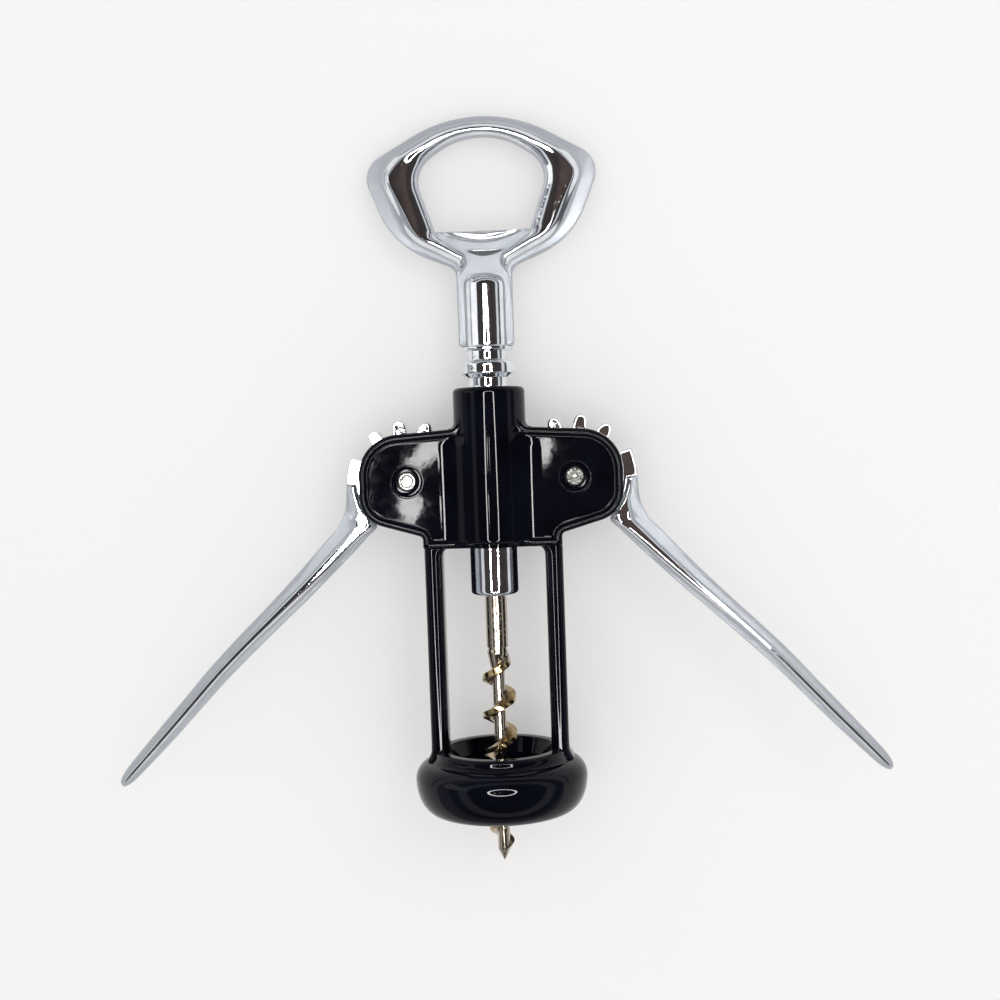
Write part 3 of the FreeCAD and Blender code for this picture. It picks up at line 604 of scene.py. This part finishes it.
link(plated.outputs["Result"], shader.inputs["Metallic"])
smooth = add("Mix", data_type="FLOAT")
link(polish.outputs["Fac"], smooth.inputs["Factor"])
link(speckle(add, link, 900, 0.34, 0.46), smooth.inputs["A"])
link(speckle(add, link, 700, 0.03, 0.08), smooth.inputs["B"])
link(smooth.outputs["Result"], shader.inputs["Roughness"])
relief(add, link, shader, speckle(add, link, 520, 0.0, 1.0, 4.0), 0.04, 0.0002)


def gear_outline():
    """Hub, seven finger teeth and the blank shoulder, about the pivot, outward to the right."""
    corners = [(6.4, -10.15, 0)]
    corners += [(spot.x, spot.y, 0) for spot in arc(0, 0, 13.5, -47, -4, 8)]
    corners += [(15.7, -0.6, 0.2), (15.8, 1.5, 4.0), (14.5, 6.8, 1.0), (10.9, 5.7, 0.3)]
    for k in range(TEETH):
        turn = math.radians(FIRST_TOOTH + TOOTH_STEP * k)
        ahead = Vector((math.cos(turn), math.sin(turn)))
        across = Vector((-ahead.y, ahead.x))
        gap = math.radians(FIRST_TOOTH + TOOTH_STEP * (k - 0.5))
        if k:
            corners.append((HUB * math.cos(gap), HUB * math.sin(gap), 0))
        flank = [(HUB - 0.1, TOOTH_ROOT_HALF, 0.4), (TOOTH_STRAIGHT, TOOTH_HALF + 0.02, 2.0)]
        flank += [(TOOTH_STRAIGHT + TOOTH_TIP * math.sin(a), TOOTH_HALF * math.cos(a), 0)
                  for a in (0.5, 0.8, 1.05, 1.3, 1.48)]
        for way, points in ((-1, flank), (1, flank[::-1])):
            for reach, half, rounding in points:
                spot = ahead * reach + across * half * way
                corners.append((spot.x, spot.y, rounding))
    line = soft_corners(corners, steps=6)
    last = FIRST_TOOTH + TOOTH_STEP * (TEETH - 1)
    line += arc(0, 0, HUB, last + 13, 296, 10)
    return line


def smooth_rows(rows, steps=5):
    """Catmull-Rom line through rows of numbers."""
    line = []
    for i in range(len(rows) - 1):
        a, b = rows[max(0, i - 1)], rows[i]
        c, d = rows[i + 1], rows[min(len(rows) - 1, i + 2)]
        for k in range(steps):
            t = k / steps
            line.append([0.5 * (2 * q + (r - p) * t + (2 * p - 5 * q + 4 * r - s) * t * t
                                + (3 * q - p - 3 * r + s) * t ** 3)
                         for p, q, r, s in zip(a, b, c, d)])
    line.append(list(rows[-1]))
    return line


def arm_point(along, out):
    """Point of the arm, along it from the pivot and out from its middle line."""
    return Vector((along + out, out - along)) * math.sqrt(0.5)


# shoulder: outer edge, inner edge, half thickness at the edges and at the rib, and where across
# it the rib starts to rise, is full, starts to fall and ends
SHOULDER_ROWS = (
    (15.72, -0.15, 13.6, -0.35, 1.9, 2.85, 0.64, 0.76, 0.90, 0.98),
    (15.8, -0.7, 13.55, -1.0, 1.9, 3.2, 0.62, 0.74, 0.90, 0.98),
    (15.9, -2.9, 13.2, -3.3, 1.88, 3.3, 0.62, 0.76, 0.90, 0.98),
    (16.15, -5.6, 12.4, -5.7, 1.83, 3.3, 0.62, 0.76, 0.91, 0.98),
    (16.7, -7.9, 11.4, -7.5, 1.76, 3.3, 0.54, 0.70, 0.92, 0.98),
    (17.6, -9.8, 10.3, -9.0, 1.7, 3.3, 0.44, 0.58, 0.92, 0.98),
)
# arm: outer edge along and out, inner edge along and out, half thicknesses, rib as above
ARM_ROWS = (
    (21.5, 5.0, 14.2, -1.95, 1.6, ARM_RIB, 0.38, 0.50, 0.80, 0.95),
    (24.5, 5.0, 17.8, -2.0, 1.55, ARM_RIB, 0.38, 0.52, 0.74, 0.92),
    (28.0, 4.9, 23.5, -2.05, 1.5, ARM_RIB, 0.38, 0.52, 0.68, 0.90),
    (33.0, 4.75, 30.5, -1.95, 1.45, 3.28, 0.37, 0.51, 0.66, 0.89),
    (40.0, 4.6, 39.0, -1.75, 1.4, 3.2, 0.36, 0.49, 0.62, 0.85),
    (50.0, 4.6, 49.6, -1.25, 1.35, 3.0, 0.35, 0.47, 0.58, 0.80),
    (60.0, 4.8, 60.0, -0.8, 1.3, 2.8, 0.35, 0.46, 0.56, 0.76),
    (70.0, 4.75, 70.0, -0.55, 1.2, 2.65, 0.35, 0.46, 0.56, 0.76),
    (80.0, 4.25, 80.0, -0.72, 1.15, 2.45, 0.35, 0.46, 0.56, 0.76),
    (90.0, 3.75, 90.0, -0.95, 1.1, 2.2, 0.35, 0.46, 0.56, 0.76),
    (100.0, 3.2, 100.0, -0.9, 1.0, 1.9, 0.35, 0.46, 0.56, 0.76),
    (104.5, 2.85, 104.5, -0.82, 0.95, 1.7, 0.35, 0.46, 0.56, 0.76),
    (107.0, 2.4, 107.0, -0.6, 0.85, 1.45, 0.35, 0.46, 0.56, 0.76),
    (108.6, 1.75, 108.6, -0.1, 0.65, 1.05, 0.35, 0.46, 0.56, 0.76),
    (109.2, 1.1, 109.2, 0.4, 0.35, 0.5, 0.35, 0.46, 0.56, 0.76),
)
arm_rows = [list(row) for row in SHOULDER_ROWS]
for along, out, inner_along, inner_out, *heights in ARM_ROWS:
    outer, inner = arm_point(along, out), arm_point(inner_along, inner_out)
    arm_rows.append([outer.x, outer.y, inner.x, inner.y, *heights])


def rise(low, high, start, end, steps=6):
    """Soft step from one height to another between two distances."""
    line = []
    for k in range(steps + 1):
        share = k / steps
        line.append((start + (end - start) * share,
                     low + (high - low) * share * share * (3 - 2 * share)))
    return line


def arm_section(row):
    """Section across the arm: edge, wide flange, rounded rib, narrow flange, on both faces."""
    outer, inner = Vector(row[:2]), Vector(row[2:4])
    edge, rib = row[4:6]
    width = (inner - outer).length
    foot, full, fall, end = [share * width for share in row[6:]]
    small = min(1.0, width / 4.3)
    last = min(0.34 * small, width - end)
    half = [(0.0, edge - 0.42 * small), (0.1 * small, edge - 0.16 * small), (0.34 * small, edge)]
    half += [(0.6 * foot, edge + 0.1 * small)]
    half += rise(edge + 0.16 * small, rib, foot, full)
    half += [(full + (fall - full) * share, rib + crown * small)
             for share, crown in ((0.2, 0.012), (0.5, 0.018), (0.8, 0.012))]
    half += rise(rib, edge + 0.08 * small, fall, end)
    half += [(width - last * 0.9, edge), (width - 0.3 * last, edge - 0.16 * small),
             (width, edge - 0.42 * small)]
    across = (inner - outer) / width
    return [(outer + across * d, z) for d, z in half] + [(outer + across * d, -z)
                                                         for d, z in half[::-1]]


def lever(side):
    """Shells of one lever; side is 1 on the right and -1 on the left."""
    outer = gear_outline()
    rim = [(depth, GEAR_HALF - drop) for depth, drop in (
        (0.0, TOOTH_BEVEL), (0.12, 0.48), (0.28, 0.22), (0.40, 0.08), (0.48, 0.02), (0.54, 0.0),
        (0.64, 0.0))]
    bore, bore_edge = circle(0, 0, HUB_BORE, 40), circle(0, 0, HUB_BORE + BORE_EDGE, 40)
    parts = []
    for face in (1, -1):
        loops = [[(p.x, p.y, face * z) for p in inset(outer, d)] for d, z in rim]
        spots, triangles = filled(inset(outer, rim[-1][0]), [bore_edge])
        parts.append(skin(loops, ends=False))
        parts.append(([(p.x, p.y, face * GEAR_HALF) for p in spots], triangles))
        parts.append(skin([[(p.x, p.y, face * GEAR_HALF) for p in bore_edge],
                           [(p.x, p.y, face * (GEAR_HALF - BORE_EDGE)) for p in bore]],
                          ends=False))
    for loop, drop in ((outer, TOOTH_BEVEL), (bore, BORE_EDGE)):
        parts.append(skin([[(p.x, p.y, GEAR_HALF - drop) for p in loop],
                           [(p.x, p.y, drop - GEAR_HALF) for p in loop]], ends=False))
    shells = [joined(*parts)]
    loops = []
    for row in smooth_rows(arm_rows):
        loops.append([(p.x, p.y, z) for p, z in arm_section(row)])
    shells.append(skin(loops))
    # low block that joins the shoulder to the gear
    neck = arc(0, 0, 12.8, -46, -8, 8) + arc(0, 0, 14.6, -8, -46, 8)
    shells.append(block(neck, -1.35, 1.35))
    return [([(side * (PIVOT + x), y, z) for x, y, z in points], faces)
            for points, faces in shells]


def buffed_lever(x, y, z):
    """The rib and the gear are polished; the flanges of the arm keep a satin skin."""
    x = abs(x) - PIVOT
    along = (x - y) * math.sqrt(0.5)
    if math.hypot(x, y) < 13.58 or y > -0.1:
        return 1.0
    rib = ARM_RIB - 1.5 * max(0.0, along - 25) / 80
    return min(1.0, max(0.0, (abs(z) - 0.62 * rib) / 0.3))


for name, side in (("left_lever", -1), ("right_lever", 1)):
    cast(name + "_casting", lever(side), name + "_body", [name], chrome, 30,
         buffed_lever)

# ------------------------------------------------------------------ rack sleeve
# Turned and chromed sleeve that slides in the barrel. Its rings mesh with both levers whatever
# way it is turned, and the handle shaft runs through it.
RING = 7.03
GROOVE = 5.1
GROOVES = 6
PITCH = 6.9
MESH_HEIGHT = 0.19
SLEEVE_TOP = 32.25
NOSE = 6.55
NOSE_FOOT = -29.6
SHAFT_BORE = 3.65
SHANK_BORE = 2.82
SHAFT_FOOT = -27.0

nose_top = MESH_HEIGHT - PITCH * 2.5 + 1.25
collar_top = MESH_HEIGHT + PITCH * 4.5 - 1.5
sleeve = [(SHANK_BORE, NOSE_FOOT, 0.2), (NOSE, NOSE_FOOT, 1.15)]
sleeve += [(NOSE, nose_top, 0.15), (RING, nose_top + 0.15, 0.2)]
for k in range(GROOVES):
    middle = MESH_HEIGHT + PITCH * (k - 1.5)
    sleeve += [(RING, middle - 1.75, 0.3), (GROOVE, middle - 1.3, 0.35)]
    if k < GROOVES - 1:
        sleeve += [(GROOVE, middle + 1.3, 0.35), (RING, middle + 2.5, 0.35)]
    else:
        sleeve += [(GROOVE, middle + 1.2, 0.35), (RING, middle + 2.25, 0.4)]
sleeve += [(RING, collar_top, 0.9), (GROOVE + 0.2, collar_top, 0.3)]
sleeve += [(GROOVE + 0.2, SLEEVE_TOP, 0.1), (SHAFT_BORE, SLEEVE_TOP, 0.1)]
sleeve += [(SHAFT_BORE, SHAFT_FOOT, 0.1), (SHANK_BORE, SHAFT_FOOT, 0.1)]
cast("rack_rings", [turned(soft_corners(sleeve, steps=5), annular=True)], "rack_body",
     ["rack_sleeve"], chrome, 40, lambda x, y, z: 1.0)

# ------------------------------------------------------------------ opener handle
# Die-cast and chromed: a ring with a bottle opener in it, a round stem with two side flanges, and
# the shaft inside the rack. Its raised ridge fades out as two fingers beside the stem.
FLANGE = 1.5
CREST = 3.9
WEB = 1.4
LIFTER = 62.4
STEM = 5.3
STEM_FLANGE = 7.0
STEM_TOP = 51.9
STEM_DOME = 3.0
LIP = 6.65
LIP_FOOT = 32.4
SHAFT = 3.6
CRESCENT = 20.6
CRESCENT_MIDDLE = 79.9
RECESS_MIDDLE = 0.4
RECESS_TOP = 57.76
RECESS_DEPTH = 0.3
CORNER_STEPS = 14

OUTER_CORNERS = [(7.0, 50.0, 0), (7.0, 53.07, 3.3), (22.77, 59.66, 21.3), (30.4, 79.0, 6.3),
                 (0, 96.17, 35.5)]
INNER_CORNERS = [(3.6, 54.6, 0), (4.6, 56.7, 1.2), (11.6, 61.2, 2.0), (17.3, 78.0, 7.5),
                 (0, 90.4, 19.0)]


def ring_line(corners):
    """Edge of the ring from the foot of its right side over the top to the left."""
    right = list(corners)
    left = [(-x, y, r) for x, y, r in right[-2::-1]]
    rounded_line = soft_corners(right + left, steps=CORNER_STEPS, closed=False)
    line = []
    for i, spot in enumerate(rounded_line[:-1]):
        ahead = rounded_line[i + 1]
        straight = i % (CORNER_STEPS + 1) == 0
        pieces = 6 if straight else 1
        line += [spot.lerp(ahead, k / pieces) for k in range(pieces)]
    return line + [rounded_line[-1]]


def ring_section(outer, inner, fade):
    """Section from the outer edge over the ridge to the hole; fade sinks the ridge to the web.
    The ridge is level on top, and that level is broadest halfway up both sides of the ring."""
    width = (inner - outer).length
    height = outer.lerp(inner, 0.6).y
    broad = max(0.0, min(1.0, (79.9 - height) / 3.5, (height - 64.0) / 11.5))
    level = 0.35 + 3.1 * broad
    middle = width * (0.60 + 0.11 * (1 - min(1.0, max(0.0, (width - 4.8) / 5))))
    crest = WEB + (CREST - WEB) * fade
    flange = min(FLANGE, crest)
    low = 0.16 * crest
    foot, full, fall = 0.27 * width, middle - level / 2, middle + level / 2
    half = [(0.0, 0.55 * flange), (0.12, 0.82 * flange), (0.42, flange),
            (0.6 * foot + 0.15, flange + 0.14 * fade)]
    half += rise(flange + 0.2 * fade, crest, foot, full, 9)
    half += [(full + level * share, crest + 0.012 * level * share) for share in (0.25, 0.75)]
    for k in range(9):
        share = k / 8
        half.append((fall + (width - fall) * math.sin(share * math.pi / 2) ** 1.15,
                     low + (crest - low) * math.cos(share * math.pi / 2) ** 0.9))
    across = (inner - outer) / width
    return [(*(outer + across * d), z) for d, z in half] + [(*(outer + across * d), -z)
                                                            for d, z in half[::-1]]


outer_line, inner_line = ring_line(OUTER_CORNERS), ring_line(INNER_CORNERS)
ring_loops = []
last = len(outer_line) - 1
for i, (outer, inner) in enumerate(zip(outer_line, inner_line)):
    step = min(i, last - i)
    fade = math.sin(min(1.0, step / 13) * math.pi / 2)
    ring_loops.append(ring_section(outer, inner, fade))
handle_shells = [skin(ring_loops)]

# Web with its shallow recess, running down into the side flanges of the stem.
web_outline = soft_corners([
    (STEM_FLANGE, LIP_FOOT + 0.9, 1.0), (STEM_FLANGE, 53.2, 2.0), (13.6, 58.6, 1.0),
    (15.2, LIFTER, 0.8), (-15.2, LIFTER, 0.8), (-13.6, 58.6, 1.0), (-STEM_FLANGE, 53.2, 2.0),
    (-STEM_FLANGE, LIP_FOOT + 0.9, 1.0),
], steps=5)
recess = arc(RECESS_MIDDLE, 64.2, 8.35, 230.5, 309.5, 16)
recess += [Vector((RECESS_MIDDLE + x, RECESS_TOP)) for x in (3.6, 1.8, 0, -1.8, -3.6)]
web_parts = []
for face in (1, -1):
    steps = ((0.0, WEB - 0.3), (0.08, WEB - 0.1), (0.3, WEB), (0.55, WEB))
    loops = [[(p.x, p.y, face * z) for p in inset(web_outline, d)] for d, z in steps]
    spots, triangles = filled(inset(web_outline, 0.55), [recess])
    web_parts.append(skin(loops, ends=False))
    web_parts.append(([(p.x, p.y, face * WEB) for p in spots], triangles))
    hollow = [[(p.x, p.y, face * (WEB - z)) for p in inset(recess, d)]
              for d, z in ((0.0, 0.0), (0.08, 0.05), (0.2, 0.25), (0.3, RECESS_DEPTH))]
    points, faces = skin(hollow, ends=False)
    faces.append(tuple(range(len(points) - len(recess), len(points))))
    web_parts.append((points, faces))
web_parts.append(skin([[(p.x, p.y, WEB - 0.3) for p in web_outline],
                       [(p.x, p.y, 0.3 - WEB) for p in web_outline]], ends=False))
handle_shells.append(joined(*web_parts))

# Crowned crescent that stiffens the cap lifter.
crescent = arc(0, CRESCENT_MIDDLE, CRESCENT, 238.2, 301.8, 24)
crescent += [Vector((10.85 - 21.7 * k / 12, LIFTER - 0.02)) for k in range(1, 12)]
crown = Vector((0, 61.2))
for face in (1, -1):
    loops = []
    for share, lift in ((0.0, -0.4), (0.0, 0.08), (0.05, 0.25), (0.15, 0.45), (0.3, 0.66),
                        (0.5, 0.84), (0.7, 0.93), (0.85, 0.96)):
        loops.append([(*p.lerp(crown, share), face * (WEB + lift)) for p in crescent])
    handle_shells.append(skin(loops))

# Stem column with a rounded head, foot lip and neck, and the shaft down to the nose.
column = [Vector((0.02, STEM_TOP))]
column += [Vector((STEM * math.sin(a), STEM_TOP - STEM_DOME + STEM_DOME * math.cos(a)))
           for a in [math.radians(7.5 * k) for k in range(1, 13)]]
column += soft_corners([
    (STEM, 40.0, 0), (STEM, LIP_FOOT + 0.95, 0.35), (LIP, LIP_FOOT + 0.85, 0.25),
    (LIP, LIP_FOOT, 0.25), (SHAFT, LIP_FOOT, 0.05), (SHAFT, SHAFT_FOOT + 0.4, 0.3),
    (0.02, SHAFT_FOOT + 0.4, 0),
], steps=5, closed=False)
handle_shells.append(turned(column))


def buffed_handle(x, y, z):
    """Ridge, lip and round stem are polished; web, side flanges and inner walls stay satin."""
    on_round_stem = abs(x) < 5.4 and max(abs(z), math.hypot(x, z) - 3.3) > 1.65
    if y < LIP_FOOT + 1 or y < STEM_TOP + 0.3 and on_round_stem:
        return 1.0
    on_crescent = abs(x) < 11.0 and math.hypot(x, y - CRESCENT_MIDDLE) < CRESCENT + 0.06
    if 59.0 < y < LIFTER + 0.1 and abs(z) > WEB + 0.1 and on_crescent:
        return 0.7
    in_recess = abs(x - RECESS_MIDDLE) < 5.4 and abs(z) < WEB - 0.22
    if 55.6 < y < RECESS_TOP + 0.14 and in_recess:
        return 0.8
    streaky = 0.12 * min(1.0, max(0.0, (abs(x) - 15) / 5))
    return max(streaky, min(1.0, max(0.0, (abs(z) - 1.85) / 0.45)))


cast("opener_handle_casting", handle_shells, "handle_body", ["opener_handle"], chrome,
     32, buffed_handle)

# ------------------------------------------------------------------ worm
# Forged steel auger with a sharp fin and a ground point, lacquered. Its round shank is pressed
# into the handle shaft; shank and core are rubbed bare.
SHANK = 2.75
SHANK_END = -44.0
WORM_TIP = -98.4
WORM_PITCH = 9.7
CORE = 1.6
FIN = 4.3
FIN_ROOT = 3.1
FIN_CREST = 1.3
SHANK_TAPER = 6.0
POINT = 11.0
POINT_BEND = 0.45
POINT_BEND_WIDTH = 0.62
WORM_TURN = -117.0
RING_STEP = 0.25

worm_steel, shader = new_finish("lacquered_worm_steel")
add, link = node_maker(worm_steel)
shader.inputs["Metallic"].default_value = 1.0
shade = two_tone(add, link, (0.27, 0.20, 0.09, 1), (0.58, 0.46, 0.25, 1), 500)
bare = add("Mix", data_type="RGBA")
bare.inputs["A"].default_value = (0.52, 0.46, 0.40, 1)
link(add("Attribute", attribute_name="polish").outputs["Fac"], bare.inputs["Factor"])
link(shade, bare.inputs["B"])
link(bare.outputs["Result"], shader.inputs["Base Color"])
link(speckle(add, link, 900, 0.12, 0.30), shader.inputs["Roughness"])
relief(add, link, shader, speckle(add, link, 700, 0.0, 1.0, 3.0), 0.09, 0.0001)

crest_turn = math.pi * FIN_CREST / WORM_PITCH
root_turn = math.pi * FIN_ROOT / WORM_PITCH
around = [0.0, crest_turn]
around += [crest_turn + (root_turn - crest_turn) * k / 7 for k in range(1, 8)]
around += [root_turn + (math.pi - root_turn) * k / 7 for k in range(1, 8)]
around = [-turn for turn in around[:0:-1]] + around[:-1]


def worm_ring(height):
    """Section of the worm across its axis at one height."""
    grown = min(1.0, max(0.0, (SHANK_END + 0.5 - height) / (SHANK_TAPER * 1.4)))
    tip = min(1.0, max(0.0, (height - WORM_TIP) / POINT))
    limit = (SHANK - 0.3) * (1 - grown) + FIN * grown
    if tip < POINT_BEND:
        pointed = POINT_BEND_WIDTH * tip / POINT_BEND
    else:
        beyond = (tip - POINT_BEND) / (1 - POINT_BEND)
        pointed = POINT_BEND_WIDTH + (1 - POINT_BEND_WIDTH) * beyond
    limit = min(limit, FIN * pointed)
    body = CORE + (SHANK - CORE) * min(1.0, max(0.0, 1 + (height - SHANK_END) / SHANK_TAPER))
    body = min(body, max(0.06, limit))
    lead = 2 * math.pi * (height - WORM_TIP - 0.5) / WORM_PITCH + math.radians(WORM_TURN)
    ring = []
    for turn in around:
        slope = (abs(turn) - crest_turn) / (root_turn - crest_turn)
        fin = FIN - (FIN - CORE) * min(1.0, max(0.0, slope))
        radius = max(body, min(fin, limit))
        angle = lead + turn
        ring.append((radius * math.cos(angle), height, -radius * math.sin(angle)))
    return ring


ring_count = int((SHANK_END + 1 - WORM_TIP) / RING_STEP) + 1
heights = [SHANK_END + 1 - RING_STEP * k for k in range(ring_count)]
loops = [worm_ring(height) for height in heights if height > WORM_TIP + 0.05]
loops.append(worm_ring(WORM_TIP + 0.03))
shank = [(SHANK, -15.0), (SHANK, -43.0)]
shank_loops = [[(r * math.cos(t), y, -r * math.sin(t)) for t in around] for r, y in shank]


def lacquered(x, y, z):
    """The fin keeps its golden lacquer; shank and core are worn to bare steel."""
    if y > SHANK_END - 3:
        return 0.25
    return min(1.0, max(0.15, (math.hypot(x, z) - CORE - 0.2) / 0.8))


cast("worm_auger", [skin(shank_loops + loops)], "handle_body", ["worm"],
     worm_steel, 34, lacquered)

# ------------------------------------------------------------------ floor, light and camera
# Plain white floor under the corkscrew, tilted so that bell and ring both rest on it. It passes
# under the bell at FLOOR_REST and rises from there by FLOOR_RISE over FLOOR_RUN; all in metres.
FLOOR_REST = (0, -0.0749, -0.0001)
FLOOR_RISE = 0.0181
FLOOR_RUN = 0.163

floor_mesh = bpy.data.meshes.new("floor")
sheet = bmesh.new()
bmesh.ops.create_grid(sheet, x_segments=2, y_segments=2, size=1.5)
sheet.to_mesh(floor_mesh)
sheet.free()
floor = bpy.data.objects.new("floor", floor_mesh)
bpy.context.scene.collection.objects.link(floor)
floor.location = FLOOR_REST
floor.rotation_euler = (math.atan2(FLOOR_RISE, FLOOR_RUN), 0, 0)
white, shader = new_finish("white_paper")
shader.inputs["Base Color"].default_value = (0.69, 0.682, 0.676, 1)
shader.inputs["Emission Color"].default_value = (1.0, 0.985, 0.975, 1)
shader.inputs["Emission Strength"].default_value = 0.28
shader.inputs["Roughness"].default_value = 0.9
shader.inputs["Specular IOR Level"].default_value = 0.1
floor_mesh.materials.append(white)

# Soft even light on everything matt. Gloss and chrome see the same room as a dark warm ceiling
# straight above, pale walls lower down, and the lamps: a ring lamp round the lens and a window.
world = bpy.data.worlds.new("soft_room")
bpy.context.scene.world = world
world.use_nodes = True
tree = world.node_tree
background = tree.nodes["Background"]
place = tree.nodes.new("ShaderNodeTexCoord")
height = tree.nodes.new("ShaderNodeVectorMath")
height.operation = "DOT_PRODUCT"
height.inputs[1].default_value = (0.17, 0.0, 0.985)
ramp = tree.nodes.new("ShaderNodeValToRGB")
tree.links.new(place.outputs["Generated"], height.inputs[0])
tree.links.new(height.outputs["Value"], ramp.inputs["Fac"])
bands = ramp.color_ramp.elements
bands[0].position = 0.0
bands[0].color = (0.36, 0.38, 0.41, 1)
bands[1].position = 1.0
bands[1].color = (0.085, 0.062, 0.056, 1)
for position, colour in ((0.14, (0.36, 0.38, 0.41, 1)), (0.20, (0.11, 0.11, 0.12, 1)),
                         (0.36, (0.12, 0.12, 0.13, 1)), (0.42, (0.72, 0.74, 0.77, 1)),
                         (0.56, (0.78, 0.79, 0.81, 1)), (0.62, (0.055, 0.050, 0.050, 1)),
                         (0.93, (0.045, 0.036, 0.036, 1)), (0.97, (0.085, 0.062, 0.056, 1))):
    band = bands.new(position)
    band.color = colour
kind = tree.nodes.new("ShaderNodeLightPath")
seen = tree.nodes.new("ShaderNodeMix")
seen.data_type = "RGBA"
seen.inputs["A"].default_value = (0.86, 0.86, 0.865, 1)
tree.links.new(kind.outputs["Is Glossy Ray"], seen.inputs["Factor"])
tree.links.new(ramp.outputs["Color"], seen.inputs["B"])
tree.links.new(seen.outputs["Result"], background.inputs["Color"])
background.inputs["Strength"].default_value = 1.0

# Middle of the lens, in metres.
lens_spot = pivot_line + Vector((0.02114, 0.01207, 0.36797))


def glow(name, soft, mirrored):
    """Plain light source, with its own strength for what mirrors it."""
    material = bpy.data.materials.new(name)
    material.use_nodes = True
    add, link = node_maker(material)
    material.node_tree.nodes.remove(material.node_tree.nodes["Principled BSDF"])
    light = add("Emission")
    path = add("LightPath")
    strength = add("MapRange")
    strength.inputs["To Min"].default_value = soft
    strength.inputs["To Max"].default_value = mirrored
    link(path.outputs["Is Glossy Ray"], strength.inputs["Value"])
    link(strength.outputs["Result"], light.inputs["Strength"])
    link(light.outputs["Emission"], material.node_tree.nodes["Material Output"].inputs["Surface"])
    return material


def lamp(name, spots, faces, material):
    """Light source made of flat faces."""
    mesh = bpy.data.meshes.new(name)
    mesh.from_pydata([tuple(spot) for spot in spots], [], faces)
    mesh.materials.append(material)
    thing = bpy.data.objects.new(name, mesh)
    bpy.context.scene.collection.objects.link(thing)
    thing.visible_camera = False


# Ring lamp level with the lens, set LAMP_DROP metres nearer to the worm's point.
LAMP_INNER = 0.107
LAMP_OUTER = 0.126
LAMP_DROP = 0.044
LAMP_STEPS = 48

rims = [(radius, 2 * math.pi * k / LAMP_STEPS)
        for radius in (LAMP_INNER, LAMP_OUTER) for k in range(LAMP_STEPS)]
ring_spots = [lens_spot + Vector((r * math.cos(a), r * math.sin(a) - LAMP_DROP, 0))
              for r, a in rims]
ring_faces = []
for k in range(LAMP_STEPS):
    after = (k + 1) % LAMP_STEPS
    ring_faces.append((k, after, LAMP_STEPS + after, LAMP_STEPS + k))
lamp("ring_lamp", ring_spots, ring_faces, glow("ring_glow", 3.4, 48.0))

# Window panes, WINDOW_HEIGHT metres above the ear panels. Each is given by where it shows up on
# them, in millimetres, when they are looked at through the lens.
WINDOW_HEIGHT = 0.8
PANES = (
    ((-15.9, 10.4), (-21.7, 4.5), (-17.9, 2.2), (-13.8, 6.8), (-12.2, 5.0), (-12.2, 8.5),
     (-13.0, 10.7)),
    ((-23.5, -4.0), (-23.3, -6.8), (-21.8, -8.8), (-24.0, -10.4), (-20.0, -11.4), (-17.3, -6.2),
     (-18.0, -3.8)),
    ((12.1, 10.2), (12.5, 1.0), (13.4, 2.6), (15.5, 5.5), (16.0, 10.0)),
)
panel = pivot_line + Vector((0, 0, PANEL_LEVEL / 1000))
pane_spots, pane_faces = [], []
for pane in PANES:
    base = len(pane_spots)
    for x, y in pane:
        spot = panel + Vector((x, y, 0)) / 1000
        away = spot - lens_spot
        away.z = -away.z
        pane_spots.append(spot + away * (WINDOW_HEIGHT / away.z))
    pane_faces.append(tuple(range(base, base + len(pane))))
lamp("window", pane_spots, pane_faces, glow("window_glow", 4.0, 44.0))

# Bright wall on the left, which the stem and the ring mirror as a broad white band.
wall = [pivot_line + Vector((-0.8, y, z))
        for y, z in ((0.07, 0.12), (0.45, 0.12), (0.45, 0.8), (0.07, 0.8))]
lamp("bright_wall", wall, [(0, 1, 2, 3)], glow("wall_glow", 0.5, 1.2))

# Weak soft light from the upper right; it gives the corkscrew its faint shadow on the left.
FILL_SPOT = Vector((0.4, 0.3, 0.75))
soft_fill = bpy.data.lights.new("soft_fill", "AREA")
soft_fill.energy = 0.55
soft_fill.size = 0.3
fill = bpy.data.objects.new("soft_fill", soft_fill)
bpy.context.scene.collection.objects.link(fill)
fill.location = pivot_line + FILL_SPOT
fill.rotation_euler = FILL_SPOT.to_track_quat("Z", "Y").to_euler()
fill.visible_glossy = False

# The camera looks almost straight down; its turns about its three axes are in radians.
ROLL = 0.0325
PAN = -0.052
TILT = 0.048
camera = bpy.data.objects.new("camera", bpy.data.cameras.new("camera"))
camera.data.lens = 52.2
camera.data.sensor_width = 36.0
look = (Matrix.Rotation(ROLL, 3, "Z") @ Matrix.Rotation(PAN, 3, "Y")
        @ Matrix.Rotation(TILT, 3, "X")).transposed()
camera.matrix_world = Matrix.Translation(lens_spot) @ look.to_4x4()
bpy.context.scene.collection.objects.link(camera)
bpy.context.scene.camera = camera
bpy.context.scene.view_settings.view_transform = "Standard"
